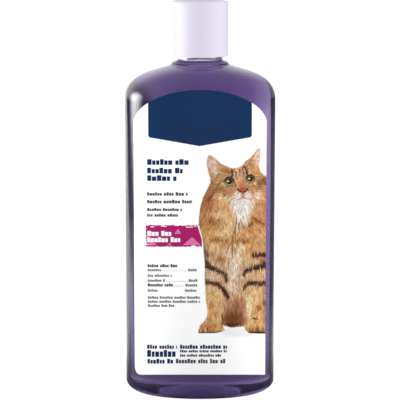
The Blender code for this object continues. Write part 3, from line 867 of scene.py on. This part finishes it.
def lay(picture, cover, colour):
    """Paints a colour over a picture, as far as the cover at each place says."""
    picture += (np.array(colour, float) - picture) * cover[..., None]


def fur_lean(x, z):
    """Which way the hair lies, in radians from straight down towards +X."""
    if z > 99:
        away = math.atan2(x - 20.3, 107 - z)
        return away if abs(away) < 2.4 else away * 0.8
    return 0.035 * (x - 14) * (1 if z > 78 else 0.35)


def comb(picture, cover, x, z, count, contrast, longest, rng):
    """Draws fine hairs in the colour of the coat at their roots, a little lighter or darker."""
    coat, whole = picture.copy(), cover.copy()
    for _ in range(count):
        i, j = rng.integers(0, x.shape[0]), rng.integers(0, x.shape[1])
        shade = 1 + contrast * (rng.uniform(-1, 1) - 0.15)
        length, width = rng.uniform(0.4, 1) * longest, rng.uniform(0.25, 0.5)
        sway, stray = rng.normal(0, 0.2), rng.uniform(0, 1)
        if whole[i, j] < 0.5:
            continue
        if z[i, j] > 98:
            length *= 0.6
        lean = fur_lean(x[i, j], z[i, j]) + sway
        end_x, end_z = x[i, j] + length * math.sin(lean), z[i, j] - length * math.cos(lean)
        reach = int(length / CAT_STEP) + 3
        window = (slice(max(i - reach, 0), i + reach + 1), slice(max(j - reach, 0), j + reach + 1))
        hair = [(x[i, j], z[i, j]), (end_x, end_z)]
        line = on_line(x[window], z[window], hair, width, width * 0.4)
        lay(picture[window], 0.7 * line, np.clip(coat[i, j] * shade, 0, 252))
        if stray < 0.25 and z[i, j] > 44:
            cover[window] = np.maximum(cover[window], 0.4 * line)


def paint_eye(picture, x, z, centre_x, centre_z, size):
    away = np.hypot(x - centre_x, (z - centre_z) * 1.02) / size
    upper = smoothstep(-0.6, 0.9, (z - centre_z) / size)
    rim = 1 - smoothstep(1.06 + 0.18 * upper, 1.30 + 0.22 * upper, away)
    lay(picture, 0.95 * rim, (50, 30, 16))
    iris = 1 - smoothstep(0.94, 1.10, away)
    low = smoothstep(0.6, -0.9, (z - centre_z) / size)[..., None]
    colour = (1 - low) * np.array((92, 74, 36)) + low * np.array((186, 166, 98))
    picture += (colour - picture) * iris[..., None]
    lay(picture, 1 - smoothstep(0.62, 0.78, away), (16, 12, 12))
    glint = np.hypot(x - centre_x + 0.30 * size, z - centre_z - 0.16 * size) / size
    lay(picture, 1 - smoothstep(0.14, 0.34, glint), (244, 246, 250))
    second = np.hypot(x - centre_x - 0.10 * size, z - centre_z + 0.10 * size) / size
    lay(picture, 0.45 * (1 - smoothstep(0.10, 0.26, second)), (160, 160, 170))


def ragged(shape, rng):
    """Hair by hair unevenness: quick across the picture and slow down it."""
    reach = 10
    spots = rng.normal(0, 1, (shape[0], shape[1] // reach + 2))
    at = np.arange(shape[1]) / reach
    low = at.astype(int)
    return spots[:, low] + (spots[:, low + 1] - spots[:, low]) * (at - low)


def paint_cat(x, z):
    """The tabby cat, on regular grids of places in millimetres."""
    rng = np.random.default_rng(CAT_SEED)
    hair_x, hair_z = ragged(x.shape, rng), ragged(x.shape, rng)
    paper = np.empty((*x.shape, 3))
    paper[:] = PAPER
    shadow = in_patch(x, z, 17.0, 34.4, 8.5, 2.6, 0)
    lay(paper, 0.35 * shadow, (206, 198, 200))
    lay(paper, 0.5 * in_patch(x, z, 27, 32.8, 6, 1.2, 0), (226, 222, 224))

    coat = np.empty((*x.shape, 3))
    coat[:] = (206, 158, 112)
    for centre_x, centre_z, half_x, half_z, tilt, colour, strength in COAT:
        patch = in_patch(x + 0.15 * hair_x, z + 0.5 * hair_z,
                         centre_x, centre_z, half_x, half_z, tilt)
        lay(coat, strength * patch, colour)
    cover = inside_outline(x, z, CAT_OUTLINE)
    comb(coat, cover, x, z, 6500, 0.32, 3.0, rng)
    for points, start_width, end_width, colour, strength in MARKINGS:
        loose = 0.22 * max(start_width, end_width)
        line = on_line(x + 0.4 * loose * hair_x, z + loose * hair_z, points, start_width, end_width)
        lay(coat, strength * line, colour)
    comb(coat, cover, x, z, 5000, 0.20, 1.5, rng)

    # The nose, its two nostrils, and the eyes
    lay(coat, 0.75 * in_patch(x, z, 20.1, 105.6, 1.6, 1.6, 0), (184, 108, 62))
    wide = np.clip((z - 101.7) / 2.8, 0, 1) ** 0.8 * 1.6
    pad = smoothstep(0.3, -0.2, np.abs(x - 20.3) - wide)
    pad = pad * smoothstep(101.5, 102.1, z) * smoothstep(105.4, 103.8, z)
    lay(coat, pad, (166, 76, 58))
    for points in ([(17.9, 104.0), (18.5, 103.3), (19.5, 102.5)],
                   [(22.5, 104.1), (22.0, 103.2), (21.1, 102.5)]):
        lay(coat, on_line(x, z, points, 0.7, 0.6), (48, 26, 14))
    paint_eye(coat, x, z, 13.85, 107.5, 1.85)
    paint_eye(coat, x, z, 23.8, 108.7, 1.75)
    return paper + (0.93 * coat - paper) * cover[..., None]


# ---------------------------------------------------------------- labels

LABEL_HALF_WIDTH = 31.35 * MM
LABEL_BOTTOM = 13.4 * MM
ARCH_BASE = 134.6 * MM
ARCH_RISE = 16.5 * MM
ARCH_HALF_WIDTH = 31.6 * MM
BACK_HALF_WIDTH = 25.0 * MM
BACK_ARCH_BASE = 130.0 * MM
BACK_ARCH_HALF_WIDTH = 25.3 * MM
CORNER_RADIUS = 3.0 * MM
# How far the top and the underside of the film and of the ink are from the wall
FILM_TOP, FILM_UNDER = 0.10 * MM, -0.15 * MM
INK_TOP, INK_UNDER = 0.14 * MM, 0.06 * MM


def drape(x, z, lift, side=-1):
    """Lays a flat picture back onto the wall along the lines of sight.

    x and z are where a point shows on an upright plane that touches the bottle, seen from the
    camera for the front (side -1) and from as far behind the bottle for the back (side 1).
    """
    x, z = np.atleast_1d(np.asarray(x, float)), np.atleast_1d(np.asarray(z, float))
    depth = np.full(x.shape, HALF_DEPTH)
    for _ in range(6):
        reach = (CAMERA_DISTANCE - depth) / (CAMERA_DISTANCE - HALF_DEPTH)
        wide = x * reach
        high = CAMERA_HEIGHT + (z - CAMERA_HEIGHT) * reach
        depth = wall_depth(wide, high)
    spot = np.stack([wide, -depth, high], -1) + wall_normal(wide, high) * lift
    if side > 0:
        spot *= (-1, -1, 1)
    return spot


def body_spread(height):
    """The shoulder's spread at each height, 1 all down the body."""
    spread, level = OUTER_SKIN.shoulder(np.linspace(0, 1, 400))
    return np.where(height <= SHOULDER_START, 1.0, np.interp(-height, -level, spread))


def wall_depth(x, height):
    spread = body_spread(height)
    half_x = COLLAR_RADIUS + (HALF_WIDTH - COLLAR_RADIUS) * spread
    half_y = COLLAR_RADIUS + (HALF_DEPTH - COLLAR_RADIUS) * spread
    exponent = 2 + (BODY_EXPONENT - 2) * spread
    inside = np.clip(1 - (np.abs(x) / half_x) ** exponent, 0, 1)
    return half_y * inside ** (1 / exponent)


def wall_normal(x, height):
    """The front wall's outward direction."""
    step = 0.1 * MM
    slope_x = (wall_depth(x + step, height) - wall_depth(x - step, height)) / (2 * step)
    slope_z = (wall_depth(x, height + step) - wall_depth(x, height - step)) / (2 * step)
    normal = np.stack([-slope_x, np.full(x.shape, -1.0), -slope_z], -1)
    return normal / np.linalg.norm(normal, axis=-1, keepdims=True)


def arch(x, base=ARCH_BASE, half_width=ARCH_HALF_WIDTH):
    """The height of a label's top edge."""
    return base + ARCH_RISE * np.sqrt(np.clip(1 - (x / half_width) ** 2, 0, 1))


def back_arch(x):
    return arch(x, BACK_ARCH_BASE, BACK_ARCH_HALF_WIDTH)


def rounded_corner(inwards, rise):
    """How far a label's bottom edge rises near its corner, by how far inwards a place is."""
    share = np.clip(inwards / CORNER_RADIUS, 0, 1)
    return rise * (1 - np.sqrt(1 - (1 - share) ** 2))


def upright(x, low, high, rows):
    """A grid of places in columns, from one edge up to another."""
    up = np.linspace(0, 1, rows)
    return np.repeat(x[:, None], rows, 1), low[:, None] + (high - low)[:, None] * up


def thin_sheet(x, z, top, under, side, step=1):
    """Vertices and faces of a closed sheet over a grid of places, with a coarser underside."""
    columns, rows = x.shape
    keep_i = sorted({*range(0, columns, step), columns - 1})
    keep_j = sorted({*range(0, rows, step), rows - 1})
    kept = np.ix_(keep_i, keep_j)
    front = drape(x, z, top, side).reshape(-1, 3)
    back = drape(x[kept], z[kept], under, side).reshape(-1, 3)

    def under_at(i, j):
        return columns * rows + keep_i.index(i) * len(keep_j) + keep_j.index(j)

    faces = [
        (i * rows + j, (i + 1) * rows + j, (i + 1) * rows + j + 1, i * rows + j + 1)
        for i in range(columns - 1) for j in range(rows - 1)
    ]
    start = columns * rows
    for i in range(len(keep_i) - 1):
        for j in range(len(keep_j) - 1):
            a, b = start + i * len(keep_j) + j, start + (i + 1) * len(keep_j) + j
            faces.append((a, a + 1, b + 1, b))
    for last, edge in ((0, 1), (rows - 1, -1)):
        for a, b in zip(keep_i, keep_i[1:]):
            run = [i * rows + last for i in range(a, b + 1)]
            faces.append(tuple(([under_at(a, last), under_at(b, last)] + run[::-1])[::edge]))
    for last, edge in ((0, -1), (columns - 1, 1)):
        for a, b in zip(keep_j, keep_j[1:]):
            run = [last * rows + j for j in range(a, b + 1)]
            faces.append(tuple(([under_at(last, a), under_at(last, b)] + run[::-1])[::edge]))
    return np.concatenate([front, back]), faces


def printed(name, grids, material, side=-1, over=0.0):
    """One piece of print made of one or more closed sheets of ink."""
    vertices, faces, count = [], [], 0
    for x, z in grids:
        spots, corners = thin_sheet(np.asarray(x, float) * MM, np.asarray(z, float) * MM,
                                    INK_TOP + over, INK_UNDER + over, side)
        vertices.append(spots)
        faces += [tuple(count + k for k in face) for face in corners]
        count += len(spots)
    piece = make_object(name, np.concatenate(vertices), faces, material, 60)
    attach(piece, "bottle")


def block(left, right, low, high, columns=3, rows=2):
    across, up = np.linspace(left, right, columns), np.linspace(low, high, rows)
    return np.meshgrid(across, up, indexing="ij")


def words(left, right, low, high, rng, spacing=0.62):
    """A line of plain blocks, in place of words, as grids in millimetres."""
    tall = high - low
    grids, x, letters = [], left, rng.integers(3, 8)
    while x < right - 0.2 * tall:
        if letters == 0:
            letters = rng.integers(3, 9)
            x += 0.45 * tall
            continue
        wide = min(rng.uniform(0.8, 1.2) * spacing * tall, right - x)
        crown = tall * (1.0 if letters % 4 == 3 or x == left else 0.78)
        grids.append(block(x, x + wide, low, low + crown))
        x += wide + 0.11 * tall
        letters -= 1
    return grids


def leader(left, right, low):
    """A row of dots."""
    return [block(x, x + 0.28, low, low + 0.28, 2) for x in np.arange(left, right, 0.62)]


def rows_of_words(rows, rng, spacing=0.62):
    """Lines of plain blocks, each given as its left, right, low and high edges."""
    return [grid for row in rows for grid in words(*row, rng, spacing)]


def fine_rows(rows):
    """Rows of the fine print, given as left, right and the foot of the line, with their height."""
    return [(left, right, low - 0.1, low + 1.2) for left, right, low in rows]


# The front label's art, all in millimetres on the flat label
SHIELD_HALF_WIDTH = 24.45
SHIELD_POINT, SHIELD_CORNER = 124.5, 128.8
# Rows of blocks in place of words: left, right, low and high edges
TITLES = [(-25.0, -4.9, 115.6, 118.3), (-25.0, -8.2, 111.5, 114.2), (-25.0, -11.2, 107.9, 110.6)]
CAUTION = [(-25.4, -11.0, 26.2, 28.2), (-9.6, 13.0, 26.2, 28.2)]
CLAIMS = [
    (-25.1, -5.9, 100.8, 102.5), (-25.1, -3.8, 97.1, 98.8),
    (-25.1, -8.6, 93.4, 94.9), (-25.1, -10.5, 90.7, 92.2),
    (-25.0, -10.4, 66.3 - 0.1, 66.3 + 1.4), (-25.0, -12.6, 56.9 - 0.1, 56.9 + 1.4),
    (-9.6, 13.0, 24.4, 25.7), (-9.6, 10.1, 22.3, 23.6),
]
# Rows of the fine print: left, right, and the foot of the line
CONTENTS = [(-25.0, -18.6, 64.3), (-25.0, -13.5, 61.6), (-25.0, -16.4, 59.2), (-25.0, -19.8, 54.3)]
AMOUNTS = [(-5.6, -1.2, 64.3), (-5.4, -1.2, 59.2), (-7.0, -1.2, 56.9), (-7.2, -1.2, 54.3)]
LEADERS = [(-18.2, -6.2, 64.3), (-16.0, -6.0, 59.2), (-12.2, -7.6, 56.9)]
NOTES = [(-25.0, 0.0, 50.9), (-25.0, 0.0, 48.9), (-25.0, -11.4, 46.9)]
STRIP_WORDS = [(-25.0, -13.6, 81.4, 83.8), (-25.0, -9.4, 78.4, 80.8)]
# Nicks along the torn strip: left, width, low
NICKS = [
    (-23.5, 1.8, 85.6), (-18.4, 2.6, 85.9), (-6.8, 3.4, 85.5),
    (-2.9, 1.2, 85.9), (-25.4, 0.9, 77.2),
]
# Leaves on the strip: left, tip, right, low, high
LEAVES = [
    (-8.1, -3.8, 0.4, 76.9, 80.9), (-25.2, -22.8, -20.6, 76.9, 79.2),
    (-12.2, -10.4, -8.9, 82.4, 84.9), (-15.6, -14.6, -13.4, 76.9, 78.0),
]
FRONT_SEED, BACK_SEED = 12, 31


def torn_strip(rng):
    """The grid of a strip whose edges are torn, in millimetres."""
    start, width, columns, rows = -25.7, 26.7, 130, 24
    x = np.linspace(start, start + width, columns)
    torn = rng.uniform(-1, 1, (2, columns))
    torn = 0.5 * torn + 0.5 * np.roll(torn, 2, 1)
    low, high = 76.2 + 0.35 * torn[0], 86.6 + 0.4 * torn[1]
    low[(x > -4) & (x < -2.2)] += 0.5
    high[(x > -11) & (x < -5)] -= 0.25
    up = np.linspace(0, 1, rows)
    z = upright(x, low, high, rows)[1]
    tear = 0.35 * rng.uniform(-1, 1, rows)
    right = np.interp(76 + 10.8 * up, [76, 79.5, 83, 87], [1.0, 0.9, -0.1, -1.3])
    across = (x[:, None] - start) / width
    return start + tear * (1 - across) + across * (right - start), z


def leaf(left, tip, right, low, high):
    x = np.linspace(left, right, 13)
    crown = np.interp(x, [left, tip, right], [low + 0.06, high, low + 0.06])
    return upright(x, np.full(13, low), crown, 4)


def make_front_art():
    rng = np.random.default_rng(FRONT_SEED)
    navy = ink("ink_navy", srgb(18, 46, 83))
    grey = ink("ink_grey", srgb(66, 68, 76))
    pale = ink("ink_pale_grey", srgb(110, 112, 118))
    magenta = ink("ink_magenta", srgb(163, 30, 99))
    white = ink("ink_white", (0.93, 0.92, 0.93))
    pink = ink("ink_pink", srgb(213, 112, 164))

    # The shield follows the top of the label and comes down to a shallow point
    x = np.linspace(-SHIELD_HALF_WIDTH, SHIELD_HALF_WIDTH, 90)
    foot = SHIELD_POINT + (SHIELD_CORNER - SHIELD_POINT) * np.abs(x + 0.2) / SHIELD_HALF_WIDTH
    foot += 0.7 * smoothstep(0.7, 0, SHIELD_HALF_WIDTH - np.abs(x)) ** 2
    printed("shield", [upright(x, foot, arch(x * MM) / MM, 40)], navy)

    titles = rows_of_words(TITLES, rng, 0.66) + rows_of_words(CAUTION, rng, 0.5)
    titles += words(-25.4, -10.8, 22.2, 25.6, rng, 0.46)
    titles += words(-25.2, -13.0, 18.9, 21.2, rng, 0.5)
    printed("title_blocks", titles, navy)

    small = rows_of_words(CLAIMS, rng) + words(-11.6, 12.1, 19.0, 21.2, rng, 0.46)
    printed("small_blocks", small, grey)

    fine = rows_of_words(fine_rows(CONTENTS + AMOUNTS), rng)
    fine += [dot for row in LEADERS for dot in leader(*row)]
    fine += rows_of_words(fine_rows(NOTES), rng)
    printed("fine_blocks", fine, pale)

    printed("torn_strip", [torn_strip(rng)], magenta)
    lines = rows_of_words(STRIP_WORDS, rng, 0.6)
    lines += [block(left, left + wide, low, low + 0.35, 3) for left, wide, low in NICKS]
    printed("strip_blocks", lines, white, over=0.08 * MM)
    for index, edges in enumerate(LEAVES):
        printed("leaf_%d" % index, [leaf(*edges)], pink, over=0.04 * MM)


def make_back_art():
    rng = np.random.default_rng(BACK_SEED)
    navy = ink("ink_navy_back", srgb(18, 46, 83))
    grey = ink("ink_grey_back", srgb(92, 94, 102))
    x = np.linspace(-20, 20, 40)
    crown = back_arch(x * MM) / MM - 2.2
    printed("back_banner", [upright(x, np.full(40, 127.0), crown, 10)], navy, 1)

    # Blocks of lines, each under a heading
    heads, lines = [], []
    for top, count in ((121, 5), (104, 7), (82, 6), (64, 5), (48, 4)):
        heads += words(-21.5, rng.uniform(-6, 4), top - 1.8, top, rng)
        for row in range(count):
            low = top - 4.4 - 1.9 * row
            right = 21.0 if row < count - 1 else rng.uniform(-8, 12)
            lines += words(-21.5, right, low, low + 1.1, rng)
    printed("back_headings", heads, navy, 1)
    printed("back_lines", lines, grey, 1)

    # Upright bars of random widths, which code nothing
    bars, x = [], 6.0
    while x < 20:
        wide = rng.choice([0.3, 0.6, 0.9])
        bars.append(block(x, x + wide, 19, 30))
        x += wide + rng.choice([0.35, 0.7])
    printed("back_bars", bars, navy, 1)
    feet = [(-21.5, 2.0, 27, 28.6), (-21.5, -2.0, 23.5, 24.8)]
    printed("back_foot", rows_of_words(feet, rng), grey, 1)


def make_front_label(film):
    """The film, with its printed cat painted into a fine part of its grid."""
    columns_before, rows_below, rows_above = 43, 8, 21
    half_width = LABEL_HALF_WIDTH / MM
    left = np.linspace(-half_width, CAT_LEFT, columns_before + 1)
    x = np.concatenate([left[:-1], np.arange(CAT_LEFT, CAT_RIGHT, CAT_STEP), [CAT_RIGHT]])
    cat_z = np.arange(CAT_LOW, CAT_HIGH, CAT_STEP)
    bottom = LABEL_BOTTOM / MM + rounded_corner(x * MM + LABEL_HALF_WIDTH, 3.4)
    low = upright(x, bottom, np.full(len(x), CAT_LOW), rows_below + 1)[1][:, :-1]
    high = upright(x, np.full(len(x), cat_z[-1]), arch(x * MM) / MM, rows_above + 1)[1][:, 1:]
    z = np.concatenate([low, np.repeat(cat_z[None, :], len(x), 0), high], 1)
    x = np.repeat(x[:, None], z.shape[1], 1)
    vertices, faces = thin_sheet(x * MM, z * MM, FILM_TOP, FILM_UNDER, -1, 6)
    label = make_object("front_label_film", vertices, faces, film, 60)
    line_underside(label, x.size, film_back_painted_glow())

    picture = np.empty((*x.shape, 3))
    picture[:] = PAPER
    painted = slice(columns_before, None), slice(rows_below, rows_below + len(cat_z))
    picture[painted] = paint_cat(x[painted], z[painted])
    shown = np.ones((len(vertices), 3)) * np.array(PAPER) / 255
    shown[:x.size] = np.clip(picture.reshape(-1, 3), 0, 255) / 255
    colours = np.ones((len(vertices), 4))
    colours[:, :3] = np.where(shown <= 0.04045, shown / 12.92, ((shown + 0.055) / 1.055) ** 2.4)
    layer = label.data.color_attributes.new("print", "FLOAT_COLOR", "POINT")
    layer.data.foreach_set("color", colours.ravel().astype(np.float32))
    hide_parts("front_label")
    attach(label, "bottle")


def line_underside(label, first, back):
    """Gives the faces against the wall, from vertex number first on, the film's back with its
    painted glow.
    """
    label.data.materials.append(back)
    for polygon in label.data.polygons:
        if min(polygon.vertices) >= first:
            polygon.material_index = 1


def make_back_label(film):
    columns, rows = 60, 90
    x = np.linspace(-BACK_HALF_WIDTH, BACK_HALF_WIDTH, columns)
    bottom = LABEL_BOTTOM + rounded_corner(BACK_HALF_WIDTH - np.abs(x), 3.0 * MM)
    grid = upright(x, bottom, back_arch(x), rows)
    vertices, faces = thin_sheet(*grid, FILM_TOP, FILM_UNDER, 1)
    label = make_object("back_label_film", vertices, faces, film, 60)
    line_underside(label, columns * rows, film_back_painted_glow())
    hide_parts("back_label")
    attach(label, "bottle")


# ---------------------------------------------------------------- studio

# Brightness of the studio's walls, from behind the camera (0) to behind the bottle (1)
FRONT_TO_BACK = [(0.0, 0.15), (0.45, 0.20), (0.66, 0.55), (0.80, 1.0), (1.0, 1.05)]
# and from left (0) to right (1)
LEFT_TO_RIGHT = [(0.0, 1.75), (0.4, 1.2), (0.6, 0.95), (0.75, 0.6), (1.0, 0.4)]


def fill_ramp(ramp, stops):
    for element, (position, value) in zip(ramp.elements, (stops[0], stops[-1])):
        element.position = position
        element.color = (value, value, value, 1)
    for position, value in stops[1:-1]:
        ramp.elements.new(position).color = (value, value, value, 1)


def make_studio():
    """A bright wall behind the bottle, a dimmer room around it and a white floor."""
    world = bpy.data.worlds.new("studio")
    bpy.context.scene.world = world
    world.use_nodes = True
    world.node_tree.nodes.clear()
    room = Nodes(world.node_tree)
    place = room.split(room.add("ShaderNodeTexCoord").outputs["Generated"])
    shades = []
    for axis, stops in (("Y", FRONT_TO_BACK), ("X", LEFT_TO_RIGHT)):
        ramp = room.add("ShaderNodeValToRGB", (room.remap(place[axis], -1, 1, 0, 1),))
        fill_ramp(ramp.color_ramp, stops)
        shades.append(ramp.outputs["Color"])
    light = room.add("ShaderNodeBackground", (room.mix(1.0, *shades, "MULTIPLY"),))
    backdrop = room.add("ShaderNodeBackground", ((1, 1, 1),))
    seen = room.add("ShaderNodeLightPath").outputs["Is Camera Ray"]
    both = (seen, light.outputs["Background"], backdrop.outputs["Background"])
    shown = room.add("ShaderNodeMixShader", both)
    room.add("ShaderNodeOutputWorld", (shown.outputs["Shader"],))

    size = 4.5
    corners = [(-size, -size, 0), (size, -size, 0), (size, size, 0), (-size, size, 0)]
    floor = make_object("floor", corners, [(0, 1, 2, 3)], glowing_floor_paper())


def glowing_floor_paper():
    """Grey paper with a painted glow: evenly white as seen, and for the light on the bottle a strip
    before and behind it, dark under and beside it as painted shade.
    """
    paper = Material("glowing_floor_paper")
    tint = paper.mix(paper.noise(3, 3), (0.17, 0.17, 0.17), (0.19, 0.19, 0.19))
    paper.set(Base_Color=tint, Roughness=0.9, Specular_IOR_Level=0.1, Emission_Color=(1, 1, 1))

    place = paper.split(paper.place)
    x, y = place["X"], place["Y"]
    # Painted glow for the light that reaches the bottle: a strip behind and before it, dark under
    # and beside it as painted shade, brighter to the left
    aside = paper.math("ADD", x, paper.math("MULTIPLY", y, 0.35))
    aside = paper.math("ABSOLUTE", paper.math("ADD", aside, 0.07))
    widening = paper.math("MULTIPLY", paper.math("ABSOLUTE", y), 0.5)
    across = paper.math("SUBTRACT", aside, widening)
    behind = paper.fade(y, 0.0, 0.10, 0.0, 1.0)
    before = paper.fade(y, -0.25, -0.12, 1.0, 0.0)
    strip = paper.math("ADD", behind, before)
    strip = paper.math("MULTIPLY", strip, paper.fade(across, 0.10, 0.26, 1.0, 0.0))
    strip = paper.math("MULTIPLY", strip, paper.fade(x, -0.9, 0.1, 1.7, 0.9))
    # Seen directly, the paper glows evenly white
    seen = paper.add("ShaderNodeLightPath").outputs["Is Camera Ray"]
    white = paper.add("ShaderNodeMix", (seen,), data_type="FLOAT")
    floats = [socket for socket in white.inputs if socket.type == "VALUE"]
    paper.put(strip, floats[1])
    paper.put(1.0, floats[2])
    paper.set(Emission_Strength=white.outputs["Result"])
    return paper.material


def softbox(name, place, target, width, height, power, shows=False):
    """A soft lamp; only one that shows, which fades to its edges, is mirrored in the gloss."""
    data = bpy.data.lights.new(name, "AREA")
    data.shape = "RECTANGLE"
    data.size = width
    data.size_y = height
    data.energy = power
    if shows:
        fade_to_edges(data)
    lamp = bpy.data.objects.new(name, data)
    lamp.location = place
    lamp.rotation_euler = (Vector(target) - Vector(place)).to_track_quat("-Z", "Y").to_euler()
    lamp.visible_camera = False
    lamp.visible_glossy = shows
    lamp.visible_transmission = False
    bpy.context.scene.collection.objects.link(lamp)


def fade_to_edges(data):
    """Dims a lamp from its middle outwards, by its own two coordinates."""
    data.use_nodes = True
    nodes = Nodes(data.node_tree)
    emission = next(node for node in nodes.tree.nodes if node.type == "EMISSION")
    place = nodes.split(nodes.add("ShaderNodeNewGeometry").outputs["Parametric"])
    first, second = (
        nodes.math("POWER", nodes.math("SUBTRACT", place[axis], 0.5), 2) for axis in ("X", "Y")
    )
    away = nodes.math("SQRT", nodes.math("ADD", first, second))
    nodes.put(nodes.fade(away, 0.06, 0.5, 1.0, 0.0), emission.inputs["Strength"])


def make_camera():
    data = bpy.data.cameras.new("camera")
    data.lens = CAMERA_LENS
    data.sensor_width = 36
    data.clip_start = 0.05
    data.clip_end = 20
    camera = bpy.data.objects.new("camera", data)
    camera.location = (0, -CAMERA_DISTANCE, CAMERA_HEIGHT)
    camera.rotation_euler = (math.pi / 2 - CAMERA_PITCH, 0, 0)
    bpy.context.scene.collection.objects.link(camera)
    bpy.context.scene.camera = camera


# Name, place, what it faces, width, height and power; only the first shows in the gloss
LAMPS = [
    ("left_panel", (-0.55, -0.03, 0.16), (0, -0.02, 0.16), 0.56, 0.34, 9.0, True),
    ("left_key", (-1.3, -0.1, 0.35), (0, 0, 0.12), 0.7, 0.6, 2.0),
    ("right_key", (1.3, -0.05, 0.35), (0, 0, 0.12), 0.7, 0.6, 16.0),
    ("front_fill", (0.1, -1.4, 0.26), (0, 0, 0.06), 0.9, 0.5, 11.5),
    ("top_fill", (0, 0.1, 1.3), (0, 0, 0), 1.2, 1.2, 6.0),
]


# ---------------------------------------------------------------- build

make_camera()
make_studio()
for lamp in LAMPS:
    softbox(*lamp)
bpy.context.scene.view_settings.view_transform = "Standard"

make_bottle()
make_shampoo()
plastic = white_plastic()
make_cap(plastic)
make_disc(plastic)
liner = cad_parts["cap_liner"].data.materials
liner.clear()
liner.append(liner_foam())
make_front_label(label_film("label_film", True))
make_front_art()
make_back_label(label_film("back_film", False))
make_back_art()
